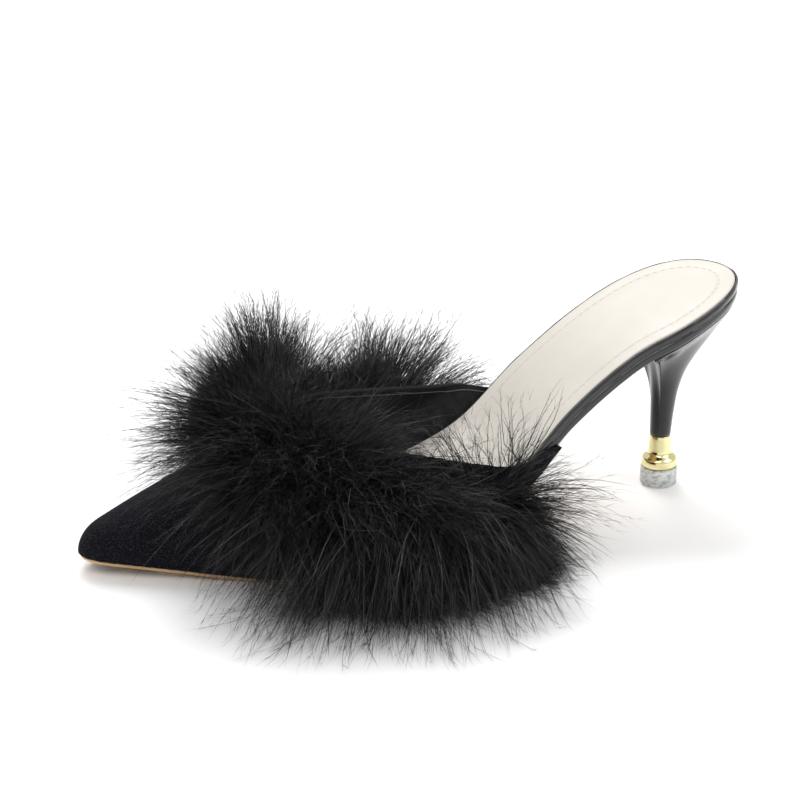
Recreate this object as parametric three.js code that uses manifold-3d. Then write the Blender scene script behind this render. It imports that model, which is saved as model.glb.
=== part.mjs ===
// A pointed-toe mule for the left foot, on a thin heel, with a marabou trim around its throat.
// Millimetres, +Z up. The toe points to -X, the outer side of the foot to -Y.
// In the making x is 0 at the back of the seat and z is 0 on the floor. The finished group is
// centred over its footprint at the end.

import * as THREE from "three";
import { mergeGeometries, mergeVertices } from "three/addons/utils/BufferGeometryUtils.js";
import Module from "manifold-3d";

// Driving sizes of the last
const FOOTBED_LENGTH = 231;
const BALL_WIDTH = 72.8;
const SEAT_HEIGHT = 77.6;
const INSTEP_HEIGHT = 58;
const TOE_SPRING = 4.0;

// Layers under the foot
const OUTSOLE_FOREFOOT = 1.9;
const OUTSOLE_SHANK = 1.0;
const BOARD_FOREFOOT = 2.2;
const BOARD_SHANK = 5.0;
const INSOLE_THICKNESS = 1.0;
const INSOLE_INSET = 1.2;
const FEATHER_LINE = 0.8;
const OUTSOLE_INSET_SHANK = 0.6;
const ARCH_INSET = 2.4;
const ROLL_STEP = 0.5;

// Upper
const WALL = 1.5;
const CLEARANCE = 0.3;
const FULLNESS = 0.86;
const SWELL_START = 0.08;
const SWELL_FULL = 0.32;
const SWELL_SCALE = 2.1;

// Heel
const HEEL_SETBACK = 23.8;
const SEAT_REACH = 38.5;
const SEAT_INSET = 0.6;
const BREAST_HOLLOW = 4.0;
const NECK_RADIUS = 3.6;
const COLLAR_HEIGHT = 11.4;
const COLLAR_RADIUS = 6.2;
const TIP_HEIGHT = 6.6;
const TIP_RADIUS = 6.4;
const EDGE_ROUND = 0.5;

// Feather trim
const TRIM_THICKNESS = 18;
const TRIM_FLOOR_GAP = 1.6;
const LOCK_LENGTH = 58;
const LOCK_ROOT = 8;
const LOCK_PLACES = 27;
const LOCK_TAPER = 0.9;
const LOCK_LEAN = 0.5;
const LOCK_STAGGER = 0.22;
const LOCK_UNEVEN = 0.22;
const LOCK_WAVE_PLACE = 2.4;
const LOCK_WAVE_FAN = 1.7;
const LOCK_FANS = [-1.15, -0.45, 0.25, 0.95];
const TRIM_SEAT = 0.5;

// Places along the foot bed, as shares of FOOTBED_LENGTH: where the stiff shank ends, where the
// forefoot starts, between which places the sole widens in front of the arch, and where the wings
// of the upper can end at the latest
const SHANK_END = 0.40;
const FOREFOOT_START = 0.58;
const ARCH_INSET_START = 0.30;
const ARCH_INSET_END = 0.42;
const WING_END = 0.30;

// How far the cutting solids reach past what they cut: behind the wings for the hollow of the
// upper and for the hollow of the trim, as shares of FOOTBED_LENGTH, and over the throat, as a
// multiple of INSTEP_HEIGHT
const UPPER_CUT_LEAD = 0.03;
const TRIM_CUT_LEAD = 0.1;
const THROAT_CUT_TOP = 3;

// The last, a row per section. along is a share of FOOTBED_LENGTH from the back of the seat,
// outer and inner are the half widths of the foot bed and bulge the swell of the wall above it,
// as shares of BALL_WIDTH. rise is a share of SEAT_HEIGHT, spring of TOE_SPRING, ridge of
// INSTEP_HEIGHT, and crown the place of the ridge across, as a share of BALL_WIDTH.
const LAST_COLUMNS = [
  "along", "outer", "inner", "rise", "spring", "ridge", "crown", "outerBulge", "innerBulge",
];
const LAST_ROWS = [
  [0.00, 0.000, 0.000, 1.000, 0.00, 0.98, -0.02, 0.00, 0.00],
  [0.05, 0.255, 0.261, 0.957, 0.00, 0.98, -0.02, 0.00, 0.00],
  [0.12, 0.331, 0.331, 0.880, 0.00, 0.98, -0.03, 0.00, 0.00],
  [0.20, 0.313, 0.323, 0.760, 0.00, 1.00, -0.03, 0.04, 0.06],
  [0.30, 0.330, 0.310, 0.539, 0.00, 1.02, -0.03, 0.08, 0.08],
  [0.40, 0.405, 0.288, 0.270, 0.00, 1.03, -0.02, 0.10, 0.09],
  [0.48, 0.444, 0.341, 0.134, 0.00, 1.02, -0.01, 0.10, 0.08],
  [0.56, 0.474, 0.402, 0.038, 0.00, 0.96, 0.00, 0.08, 0.07],
  [0.64, 0.482, 0.478, 0.000, 0.00, 0.82, 0.02, 0.06, 0.06],
  [0.70, 0.454, 0.514, 0.000, 0.00, 0.685, 0.03, 0.05, 0.05],
  [0.76, 0.389, 0.488, 0.000, 0.00, 0.56, 0.04, 0.04, 0.04],
  [0.82, 0.296, 0.420, 0.000, 0.18, 0.445, 0.05, 0.03, 0.03],
  [0.88, 0.200, 0.327, 0.000, 0.46, 0.34, 0.06, 0.02, 0.02],
  [0.94, 0.107, 0.228, 0.000, 0.72, 0.237, 0.06, 0.01, 0.01],
  [0.98, 0.041, 0.158, 0.000, 0.91, 0.152, 0.06, 0.00, 0.00],
  [1.00, -0.059, 0.059, 0.000, 1.00, 0.00, 0.06, 0.00, 0.00],
];

// Topline of the upper, a row per section: the height over the floor of its edge on the outer
// and the inner side, as shares of INSTEP_HEIGHT, against the share of FOOTBED_LENGTH.
const TOPLINE_COLUMNS = ["along", "outer", "inner"];
const TOPLINE_ROWS = [
  [0.22, 0.590, 0.600],
  [0.30, 0.560, 0.590],
  [0.36, 0.542, 0.612],
  [0.42, 0.566, 0.650],
  [0.48, 0.608, 0.684],
  [0.54, 0.660, 0.716],
  [0.60, 0.706, 0.744],
  [0.65, 0.750, 0.772],
  [0.68, 0.800, 0.806],
  [0.71, 1.100, 1.100],
];

// Side of the wrapped board, from its top to its bottom: depth is a share of the board's
// thickness, inset a share of ROLL_STEP
const BOARD_EDGE_COLUMNS = ["depth", "inset"];
const BOARD_EDGE_ROWS = [
  [0.00, 1.0],
  [0.10, 0.2],
  [0.30, 0.0],
  [0.38, 1.0],
  [0.80, 1.0],
  [0.95, 1.5],
  [1.00, 2.4],
];

// Profile of the collar, from its foot: spread is a share of the way from NECK_RADIUS to
// COLLAR_RADIUS, height a share of COLLAR_HEIGHT
const COLLAR_COLUMNS = ["spread", "height"];
const COLLAR_ROWS = [
  [0.94, 0.00],
  [1.00, 0.07],
  [1.00, 0.16],
  [0.88, 0.26],
  [0.62, 0.33],
  [0.30, 0.37],
  [0.13, 0.42],
  [0.06, 0.60],
  [0.00, 1.00],
];

// Root line of the trim on the last's surface, a row per stretch, from the end of the outer wing
// round the throat to the end of the inner wing. along and over are places on the last. thick
// and deep are the half thickness across the vamp and square to it, as shares of TRIM_THICKNESS.
// reach is a share of LOCK_LENGTH, droop the share of a lock's length that its end sinks, and
// lift how far it is turned up the vamp, where 1 is half a right angle.
const TRIM_COLUMNS = ["place", "along", "over", "thick", "deep", "reach", "droop", "lift"];
const TRIM_ROWS = [
  [0.00, 0.415, 0.035, 0.20, 0.20, 0.70, 0.25, -0.5],
  [0.08, 0.440, 0.060, 0.60, 0.85, 0.80, 0.30, -0.5],
  [0.20, 0.510, 0.095, 0.85, 1.05, 0.95, 0.35, -0.5],
  [0.32, 0.600, 0.140, 1.00, 1.05, 1.00, 0.35, -0.3],
  [0.43, 0.695, 0.240, 1.10, 0.90, 0.95, 0.25, -0.2],
  [0.53, 0.735, 0.470, 1.10, 0.80, 0.75, 0.12, -0.3],
  [0.63, 0.680, 0.700, 1.05, 0.85, 0.72, 0.12, -0.1],
  [0.74, 0.600, 0.820, 0.95, 0.85, 0.65, 0.10, 0.1],
  [0.86, 0.515, 0.880, 0.85, 0.75, 0.60, 0.10, 0.2],
  [1.00, 0.425, 0.930, 0.25, 0.25, 0.50, 0.15, 0.2],
];

// Flare of the heel, a row per ring: height is a share of the way from the collar to the seat,
// back and front the share of the way from the round neck to the outline of the seat.
const HEEL_COLUMNS = ["height", "back", "front"];
const HEEL_ROWS = [
  [0.00, 0.000, 0.000],
  [0.18, 0.045, 0.010],
  [0.34, 0.110, 0.020],
  [0.48, 0.230, 0.040],
  [0.60, 0.400, 0.090],
  [0.72, 0.600, 0.190],
  [0.83, 0.780, 0.370],
  [0.93, 0.930, 0.680],
  [1.00, 1.000, 1.000],
];

// How finely the forms are divided
const OUTLINE_STEPS = 40;
const UPPER_STEPS = 26;
const UPPER_TURNS = 22;
const SEAT_STEPS = 11;
const BREAST_STEPS = 6;
const ROUND_STEPS = 28;
const TRIM_STEPS = 22;
const TRIM_SIDES = 10;
const LOCK_SIDES = 4;
const LOCK_STEPS = 3;

// Half widths of the spans over which slopes and directions are measured: along the foot bed,
// round its outline, on the last and along the trim
const SLOPE_SPAN = 0.004;
const OUTLINE_SPAN = 0.002;
const LAST_SPAN = 0.003;
const TRIM_SPAN = 0.01;

const FOREFOOT_STACK = OUTSOLE_FOREFOOT + BOARD_FOREFOOT + INSOLE_THICKNESS + 2 * CLEARANCE;

const wasm = await Module();
wasm.setup();

function readTable(columns, rows, warp) {
  const places = rows.map((row) => warp(row[0]));
  const reader = new THREE.CubicInterpolant(places, rows.flat(), columns.length);
  return (along) => {
    return named(columns, reader.evaluate(warp(along)));
  };
}

function named(columns, values) {
  return Object.fromEntries(columns.map((name, column) => [name, values[column]]));
}

// Stations crowd together at both ends, where the outline turns round
function turnOf(along) {
  return Math.acos(1 - 2 * THREE.MathUtils.clamp(along, 0, 1)) / Math.PI;
}

function alongOf(turn) {
  return (1 - Math.cos(Math.PI * turn)) / 2;
}

const readLast = readTable(LAST_COLUMNS, LAST_ROWS, turnOf);
const readTopline = readTable(TOPLINE_COLUMNS, TOPLINE_ROWS, (along) => along);
const readHeel = readTable(HEEL_COLUMNS, HEEL_ROWS, (height) => height);
const readTrim = readTable(TRIM_COLUMNS, TRIM_ROWS, (place) => place);

// One where the sole is a stiff shank, none where it bends under the ball
function shankShare(along) {
  return 1 - THREE.MathUtils.smoothstep(along, SHANK_END, FOREFOOT_START);
}

function footbedHeight(along) {
  const row = readLast(along);
  const rise = Math.max(0, row.rise) * (SEAT_HEIGHT - FOREFOOT_STACK);
  return FOREFOOT_STACK + rise + Math.max(0, row.spring) * TOE_SPRING;
}

// Heights of the layers under the foot at one place along it. Each layer is as thick as its name
// says square to the foot bed, so straight down it measures more where the bed slopes.
function layers(along) {
  const middle = THREE.MathUtils.clamp(along, SLOPE_SPAN, 1 - SLOPE_SPAN);
  const fall = footbedHeight(middle - SLOPE_SPAN) - footbedHeight(middle + SLOPE_SPAN);
  const slope = fall / (2 * SLOPE_SPAN * FOOTBED_LENGTH);
  const stretch = Math.hypot(1, slope);
  const shank = shankShare(along);
  const insoleTop = footbedHeight(along);
  const insoleBottom = insoleTop - INSOLE_THICKNESS * stretch;
  const boardTop = insoleBottom - CLEARANCE * stretch;
  const boardBottom = boardTop - THREE.MathUtils.lerp(BOARD_FOREFOOT, BOARD_SHANK, shank) * stretch;
  const outsoleTop = boardBottom - CLEARANCE * stretch;
  const outsole = THREE.MathUtils.lerp(OUTSOLE_FOREFOOT, OUTSOLE_SHANK, shank);
  const outsoleBottom = outsoleTop - outsole * stretch;
  return { insoleTop, insoleBottom, boardTop, boardBottom, outsoleTop, outsoleBottom };
}

// The outline of the foot bed seen from above. around runs from 0 at the back of the seat, along
// the outer side, to 1 at the tip of the toe and back along the inner side to 2.
function outlinePoint(around) {
  const turn = around <= 1 ? around : 2 - around;
  const along = alongOf(turn);
  const row = readLast(along);
  const y = (around <= 1 ? -row.outer : row.inner) * BALL_WIDTH;
  return new THREE.Vector2(-along * FOOTBED_LENGTH, y);
}

function offsetOutlinePoint(around, offset) {
  const before = outlinePoint((around - OUTLINE_SPAN + 2) % 2);
  const after = outlinePoint((around + OUTLINE_SPAN) % 2);
  const normal = new THREE.Vector2(before.y - after.y, after.x - before.x).normalize();
  return outlinePoint(around).addScaledVector(normal, offset);
}

// The board shows around the insole in the shank. In front of it the wall of the upper stands
// between the board and the outline.
function boardInset(along) {
  return THREE.MathUtils.lerp(WALL + CLEARANCE, -INSOLE_INSET, shankShare(along));
}

function alongAt(x) {
  return -x / FOOTBED_LENGTH;
}

// A ring of points round the foot bed, from the place startAlong forward
function outlineRing(startAlong, offsetAt, heightAt) {
  const start = turnOf(startAlong);
  const points = [];
  for (let step = 0; step <= 2 * OUTLINE_STEPS; step += 1) {
    const around = THREE.MathUtils.lerp(start, 2 - start, step / (2 * OUTLINE_STEPS));
    const turn = around <= 1 ? around : 2 - around;
    const flat = offsetOutlinePoint(around, offsetAt(alongOf(turn)));
    points.push(new THREE.Vector3(flat.x, flat.y, heightAt(alongAt(flat.x))));
  }
  return points;
}

// A lid that pairs the points of its two sides, so that it follows a bed that is bent lengthways
function pairedLid(count) {
  const triangles = [];
  for (let step = 0; step < (count - 1) / 2; step += 1) {
    const other = count - 1 - step;
    triangles.push([step, step + 1, other - 1], [step, other - 1, other]);
  }
  return triangles;
}

function flatLid(ring) {
  const contour = ring.map((point) => new THREE.Vector2(point.x, point.y));
  return THREE.ShapeUtils.triangulateShape(contour, []);
}

// Joins rings of equal length into a closed skin, and closes the first and last with lids
function skin(rings, lidOf) {
  const count = rings[0].length;
  const triangles = [];
  for (let level = 0; level + 1 < rings.length; level += 1) {
    for (let step = 0; step < count; step += 1) {
      const next = (step + 1) % count;
      const here = level * count;
      const above = here + count;
      triangles.push([here + step, here + next, above + next]);
      triangles.push([here + step, above + next, above + step]);
    }
  }
  const last = (rings.length - 1) * count;
  lidOf(rings[0]).forEach(([a, b, c]) => triangles.push([a, c, b]));
  lidOf(rings.at(-1)).forEach(([a, b, c]) => triangles.push([last + a, last + b, last + c]));
  return closedGeometry(rings.flat(), triangles);
}

// Merges shared points, drops triangles that closed up and turns the faces outward
function closedGeometry(points, triangles) {
  const loose = new THREE.BufferGeometry();
  const numbers = points.flatMap((point) => [point.x, point.y, point.z]);
  loose.setAttribute("position", new THREE.Float32BufferAttribute(numbers, 3));
  loose.setIndex(triangles.flat());
  return outwardGeometry(loose);
}

function outwardGeometry(source) {
  const bare = new THREE.BufferGeometry();
  bare.setAttribute("position", source.getAttribute("position"));
  bare.setIndex(source.getIndex());
  const merged = mergeVertices(bare, 0.001);
  const index = merged.getIndex().array;
  const kept = [];
  for (let at = 0; at < index.length; at += 3) {
    const [a, b, c] = [index[at], index[at + 1], index[at + 2]];
    if (a !== b && b !== c && c !== a) kept.push(a, b, c);
  }
  if (signedVolume(merged.getAttribute("position"), kept) < 0) kept.reverse();
  merged.setIndex(kept);
  return merged;
}

function signedVolume(position, index) {
  const corner = [new THREE.Vector3(), new THREE.Vector3(), new THREE.Vector3()];
  let volume = 0;
  for (let at = 0; at < index.length; at += 3) {
    corner.forEach((point, side) => point.fromBufferAttribute(position, index[at + side]));
    volume += corner[0].dot(corner[1].cross(corner[2])) / 6;
  }
  return volume;
}

function toSolid(geometry) {
  const vertProperties = new Float32Array(geometry.getAttribute("position").array);
  const triVerts = new Uint32Array(geometry.getIndex().array);
  return new wasm.Manifold(new wasm.Mesh({ numProp: 3, vertProperties, triVerts }));
}

function fromSolid(solid) {
  const mesh = solid.getMesh();
  const geometry = new THREE.BufferGeometry();
  geometry.setAttribute("position", new THREE.BufferAttribute(mesh.vertProperties, 3));
  geometry.setIndex(new THREE.BufferAttribute(mesh.triVerts, 1));
  return outwardGeometry(geometry);
}

function insole() {
  const offset = (along) => -boardInset(along) - INSOLE_INSET;
  const bottom = outlineRing(0, offset, (along) => layers(along).insoleBottom);
  const top = outlineRing(0, offset, (along) => layers(along).insoleTop);
  return skin([bottom, top], (ring) => pairedLid(ring.length));
}

// The wrap of the board is rolled over its upper edge and drawn in below it
function insoleBoard() {
  const rings = BOARD_EDGE_ROWS.map((values) => {
    const { depth, inset } = named(BOARD_EDGE_COLUMNS, values);
    const offset = (along) => -boardInset(along) - inset * ROLL_STEP;
    return outlineRing(0, offset, (along) => {
      const { boardTop, boardBottom } = layers(along);
      return THREE.MathUtils.lerp(boardTop, boardBottom, depth);
    });
  });
  return skin(rings, (ring) => pairedLid(ring.length));
}

function outsole() {
  const start = (SEAT_REACH + CLEARANCE) / FOOTBED_LENGTH;
  const inset = (along) => {
    const edge = THREE.MathUtils.lerp(FEATHER_LINE, OUTSOLE_INSET_SHANK, shankShare(along));
    const arch = 1 - THREE.MathUtils.smoothstep(along, ARCH_INSET_START, ARCH_INSET_END);
    return -edge - ARCH_INSET * arch;
  };
  const bottom = outlineRing(start, inset, (along) => layers(along).outsoleBottom);
  const top = outlineRing(start, inset, (along) => layers(along).outsoleTop);
  return skin([bottom, top], (ring) => pairedLid(ring.length));
}

// The outline of the heel's seat: round the back of the foot bed, then a hollow front
function seatRing() {
  const reach = turnOf(SEAT_REACH / FOOTBED_LENGTH);
  const flat = [];
  for (let step = -SEAT_STEPS; step <= SEAT_STEPS; step += 1) {
    const around = (2 - (reach * step) / SEAT_STEPS) % 2;
    flat.push(offsetOutlinePoint(around, INSOLE_INSET - SEAT_INSET));
  }
  const from = flat.at(-1);
  const to = flat[0];
  for (let step = 1; step < BREAST_STEPS; step += 1) {
    const share = step / BREAST_STEPS;
    const point = new THREE.Vector2().lerpVectors(from, to, share);
    point.x += BREAST_HOLLOW * Math.sin(Math.PI * share);
    flat.push(point);
  }
  return flat.map((point) => {
    const { outsoleTop } = layers(alongAt(point.x));
    return new THREE.Vector3(point.x, point.y, outsoleTop);
  });
}

function heel() {
  const seat = seatRing();
  const neckHeight = TIP_HEIGHT + COLLAR_HEIGHT + 2 * CLEARANCE;
  const rings = HEEL_ROWS.map(([height]) => {
    const row = readHeel(height);
    return seat.map((point) => {
      const angle = Math.atan2(point.y, point.x + HEEL_SETBACK);
      const backness = (1 + Math.cos(angle)) / 2;
      const spread = THREE.MathUtils.lerp(row.front, row.back, backness);
      const neckX = NECK_RADIUS * Math.cos(angle) - HEEL_SETBACK;
      const neckY = NECK_RADIUS * Math.sin(angle);
      return new THREE.Vector3(
        THREE.MathUtils.lerp(neckX, point.x, spread),
        THREE.MathUtils.lerp(neckY, point.y, spread),
        THREE.MathUtils.lerp(neckHeight, point.z, height),
      );
    });
  });
  return skin(rings, flatLid);
}

function turned(rows, bottom) {
  const profile = rows.map(([radius, height]) => new THREE.Vector2(radius, height));
  const lathe = new THREE.LatheGeometry(profile, ROUND_STEPS);
  lathe.rotateX(Math.PI / 2);
  lathe.translate(-HEEL_SETBACK, 0, bottom);
  return outwardGeometry(lathe);
}

function heelTip() {
  return turned([
    [0, 0],
    [TIP_RADIUS - EDGE_ROUND, 0],
    [TIP_RADIUS, EDGE_ROUND],
    [TIP_RADIUS, TIP_HEIGHT - EDGE_ROUND],
    [TIP_RADIUS - EDGE_ROUND, TIP_HEIGHT],
    [0, TIP_HEIGHT],
  ], 0);
}

function heelCollar() {
  const rows = COLLAR_ROWS.map((values) => {
    const { spread, height } = named(COLLAR_COLUMNS, values);
    return [THREE.MathUtils.lerp(NECK_RADIUS, COLLAR_RADIUS, spread), height * COLLAR_HEIGHT];
  });
  return turned([[0, 0], ...rows, [0, COLLAR_HEIGHT]], TIP_HEIGHT + CLEARANCE);
}

// A point of the last's surface above the board. along runs from the seat to the toe, over from
// 0 at the outer edge of the sole, across the ridge at a half, to 1 at the inner edge.
function lastPoint(along, over) {
  const row = readLast(along);
  const stand = WALL + CLEARANCE - boardInset(along);
  const angle = Math.PI * over;
  const side = Math.cos(angle);
  const up = Math.sin(angle);
  const swelling = THREE.MathUtils.smoothstep(up, SWELL_START, SWELL_FULL);
  const swell = SWELL_SCALE * swelling * (1 - up) ** 2;
  const crown = row.crown * BALL_WIDTH;
  const outerEdge = -row.outer * BALL_WIDTH - stand;
  const innerEdge = row.inner * BALL_WIDTH + stand;
  const edge = side > 0 ? outerEdge : innerEdge;
  const bulge = (side > 0 ? -row.outerBulge : row.innerBulge) * BALL_WIDTH * swell;
  const y = THREE.MathUtils.lerp(crown, edge, Math.abs(side) ** FULLNESS) + bulge;
  const z = layers(along).outsoleTop + CLEARANCE + Math.max(0, row.ridge) * INSTEP_HEIGHT * up;
  return new THREE.Vector3(-along * FOOTBED_LENGTH, y, z);
}

function lastNormal(along, over) {
  const turn = Math.min(turnOf(along), 1 - 2 * LAST_SPAN);
  const ahead = lastPoint(alongOf(turn + LAST_SPAN), over);
  const behind = lastPoint(alongOf(turn - LAST_SPAN), over);
  const lower = lastPoint(alongOf(turn), over - LAST_SPAN);
  const higher = lastPoint(alongOf(turn), over + LAST_SPAN);
  return higher.sub(lower).cross(ahead.sub(behind)).normalize();
}

// The solid inside the last's surface moved outward by offset, standing on legs of the length
// drop that carry it down through the sole
function lastSolid(startAlong, offset, drop) {
  const start = turnOf(startAlong);
  const rings = [];
  for (let step = 0; step <= UPPER_STEPS; step += 1) {
    const along = alongOf(THREE.MathUtils.lerp(start, 1, step / UPPER_STEPS));
    const ring = [];
    for (let turn = 0; turn <= UPPER_TURNS; turn += 1) {
      const over = turn / UPPER_TURNS;
      ring.push(lastPoint(along, over).addScaledVector(lastNormal(along, over), offset));
    }
    if (drop > 0) {
      const foot = ring[0].clone();
      const otherFoot = ring.at(-1).clone();
      foot.z -= drop;
      otherFoot.z -= drop;
      ring.unshift(foot);
      ring.push(otherFoot);
    }
    rings.push(ring);
  }
  return skin(rings, (ring) => fanLid(ring.length));
}

function fanLid(count) {
  const triangles = [];
  for (let step = 1; step + 1 < count; step += 1) triangles.push([0, step, step + 1]);
  return triangles;
}

// Everything above the topline
function throatCutter() {
  const rings = TOPLINE_ROWS.map(([along]) => along).map((along) => {
    const row = readTopline(along);
    const x = -along * FOOTBED_LENGTH;
    const top = THROAT_CUT_TOP * INSTEP_HEIGHT;
    return [
      new THREE.Vector3(x, -BALL_WIDTH, row.outer * INSTEP_HEIGHT),
      new THREE.Vector3(x, BALL_WIDTH, row.inner * INSTEP_HEIGHT),
      new THREE.Vector3(x, BALL_WIDTH, top),
      new THREE.Vector3(x, -BALL_WIDTH, top),
    ];
  });
  return skin(rings, (ring) => fanLid(ring.length));
}

function upper() {
  const outer = toSolid(lastSolid(WING_END, 0, 0));
  const inner = toSolid(lastSolid(WING_END - UPPER_CUT_LEAD, -WALL, BOARD_SHANK));
  return fromSolid(outer.subtract(inner).subtract(toSolid(throatCutter())));
}

// Where the trim is sewn on: the place on the last, the way out of its surface, the way up the
// vamp and the way along the trim
function trimSeat(place) {
  const row = readTrim(place);
  const out = lastNormal(row.along, row.over);
  const seat = lastPoint(row.along, row.over);
  const towards = readTrim(Math.min(1, place + TRIM_SPAN));
  const back = readTrim(Math.max(0, place - TRIM_SPAN));
  const forward = lastPoint(towards.along, towards.over)
    .sub(lastPoint(back.along, back.over))
    .normalize();
  const up = new THREE.Vector3().crossVectors(forward, out).normalize();
  const middle = seat.addScaledVector(out, TRIM_SEAT * row.deep * TRIM_THICKNESS);
  return { row, out, forward, up, middle };
}

// An oval ring of points, deep along one direction and thick along the other, and flattened
// where it would touch the floor
function ringAround(middle, inward, deep, across, thick, sides) {
  const points = [];
  for (let side = 0; side < sides; side += 1) {
    const angle = (2 * Math.PI * side) / sides;
    const point = middle.clone()
      .addScaledVector(inward, deep * Math.cos(angle))
      .addScaledVector(across, thick * Math.sin(angle));
    point.z = Math.max(point.z, TRIM_FLOOR_GAP);
    points.push(point);
  }
  return points;
}

function trimCore() {
  const rings = [];
  for (let step = 0; step <= TRIM_STEPS; step += 1) {
    const { row, out, up, middle } = trimSeat(step / TRIM_STEPS);
    const deep = row.deep * TRIM_THICKNESS;
    const thick = row.thick * TRIM_THICKNESS;
    rings.push(ringAround(middle, out, deep, up, thick, TRIM_SIDES));
  }
  return skin(rings, (ring) => fanLid(ring.length));
}

// One lock: it leaves the trim at an angle fan from straight out, and its end sinks
function trimLock(place, fan, stretch) {
  const { row, out, forward, up, middle } = trimSeat(place);
  const angle = fan + (row.lift * Math.PI) / 4;
  const heading = out.clone().multiplyScalar(Math.cos(angle))
    .addScaledVector(up, Math.sin(angle))
    .addScaledVector(forward, LOCK_LEAN * (2 * place - 1))
    .normalize();
  const length = row.reach * LOCK_LENGTH * stretch;
  const sideways = new THREE.Vector3().crossVectors(heading, forward).normalize();
  const upwards = new THREE.Vector3().crossVectors(heading, sideways).normalize();
  const rings = [];
  for (let step = 0; step <= LOCK_STEPS; step += 1) {
    const share = step / LOCK_STEPS;
    const radius = LOCK_ROOT * (1 - LOCK_TAPER * share);
    const point = middle.clone().addScaledVector(heading, length * share);
    point.z -= row.droop * length * share ** 2;
    point.z = Math.max(point.z, TRIM_FLOOR_GAP + radius);
    rings.push(ringAround(point, sideways, radius, upwards, radius, LOCK_SIDES));
  }
  return skin(rings, (ring) => fanLid(ring.length));
}

// The outer skin alone, so that hollows shut in between the locks are filled
function largestShell(solid) {
  return solid.decompose().reduce((largest, shell) => {
    return shell.volume() > largest.volume() ? shell : largest;
  });
}

function featherTrim() {
  const middleFan = (LOCK_FANS.length - 1) / 2;
  let trim = toSolid(trimCore());
  for (let at = 0; at < LOCK_PLACES; at += 1) {
    LOCK_FANS.forEach((fan, turn) => {
      const place = (at + 0.5 + LOCK_STAGGER * (turn - middleFan)) / LOCK_PLACES;
      const wave = Math.sin(at * LOCK_WAVE_PLACE + turn * LOCK_WAVE_FAN);
      const stretch = 1 - LOCK_UNEVEN * Math.abs(wave);
      trim = trim.add(toSolid(trimLock(place, fan, stretch)));
    });
  }
  const shoe = toSolid(lastSolid(WING_END - TRIM_CUT_LEAD, CLEARANCE, SEAT_HEIGHT));
  return fromSolid(largestShell(trim.subtract(shoe)));
}

function piece(name, geometry, color, roughness, metalness) {
  const material = new THREE.MeshStandardMaterial({ color, roughness, metalness });
  const mesh = new THREE.Mesh(geometry, material);
  mesh.name = name;
  return mesh;
}

const group = new THREE.Group();
group.add(piece("outsole", outsole(), 0xc89f6d, 0.6, 0));
group.add(piece("insole_board", insoleBoard(), 0x0c0c0e, 0.15, 0));
group.add(piece("insole", insole(), 0xece4d8, 0.6, 0));
group.add(piece("heel", heel(), 0x111113, 0.15, 0));
group.add(piece("heel_collar", heelCollar(), 0xe3cf7a, 0.15, 1));
group.add(piece("heel_tip", heelTip(), 0xe6e8e6, 0.1, 0));
group.add(piece("upper", upper(), 0x121216, 0.95, 0));
group.add(piece("feather_trim", featherTrim(), 0x08080a, 0.9, 0));

// The part's own frame: centred over its footprint, standing on the floor
const box = new THREE.Box3().setFromObject(group, true);
group.position.set(-(box.min.x + box.max.x) / 2, -(box.min.y + box.max.y) / 2, 0);
group.updateMatrixWorld(true);

export default group;
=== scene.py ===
"""Looks of a pointed-toe mule with a marabou trim: a left shoe, in millimetres until it is built.

The last, the layers under the foot and the trim follow the same tables as the solids.
Their own frame has x 0 at the back of the insole and y 0 over the middle of the heel tip.
"""

import math

import bpy
import numpy as np
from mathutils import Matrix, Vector


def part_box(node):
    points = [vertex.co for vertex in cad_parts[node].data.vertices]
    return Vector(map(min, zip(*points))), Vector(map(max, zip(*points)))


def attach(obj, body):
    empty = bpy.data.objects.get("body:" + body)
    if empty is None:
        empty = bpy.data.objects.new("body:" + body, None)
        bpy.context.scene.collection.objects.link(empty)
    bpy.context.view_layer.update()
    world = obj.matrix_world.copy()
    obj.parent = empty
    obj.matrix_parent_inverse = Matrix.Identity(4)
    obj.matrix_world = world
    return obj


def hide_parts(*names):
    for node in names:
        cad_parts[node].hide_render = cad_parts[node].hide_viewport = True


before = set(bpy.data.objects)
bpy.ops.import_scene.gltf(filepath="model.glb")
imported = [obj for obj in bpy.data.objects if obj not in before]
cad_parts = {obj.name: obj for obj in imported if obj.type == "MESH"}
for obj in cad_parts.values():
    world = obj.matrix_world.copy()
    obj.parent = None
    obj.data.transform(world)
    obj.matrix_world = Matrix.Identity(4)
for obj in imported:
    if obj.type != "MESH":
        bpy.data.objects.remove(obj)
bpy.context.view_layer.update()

# Driving sizes of the last
FOOTBED_LENGTH = 231.0
BALL_WIDTH = 72.8
SEAT_HEIGHT = 77.6
INSTEP_HEIGHT = 58.0
TOE_SPRING = 4.0

# Layers under the foot
OUTSOLE_FOREFOOT = 1.9
OUTSOLE_SHANK = 1.0
BOARD_FOREFOOT = 2.2
BOARD_SHANK = 5.0
INSOLE_THICKNESS = 1.0
INSOLE_INSET = 1.2
STITCH_INSET = 5.4
FEATHER_LINE = 0.8
OUTSOLE_INSET_SHANK = 0.6
ARCH_INSET = 2.4

# Upper
WALL = 1.5
CLEARANCE = 0.3
FULLNESS = 0.86
SWELL_START = 0.08
SWELL_FULL = 0.32
SWELL_SCALE = 2.1
LASTING_MARGIN = 3.5
MARGIN_SHARES = [0.7, 0.3]
CUT_ROOM = 0.8
UPPER_LINES = 300
UPPER_ROWS = 44
SIDE_SHARE = 0.37
ROW_CROWDING = 1.15
SEAM_DROP = 2.0
SEAM_HALF_WIDTH = 0.22
SEAM_HALF_DEPTH = 0.16
SEAM_LIFT = 0.10

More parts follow.
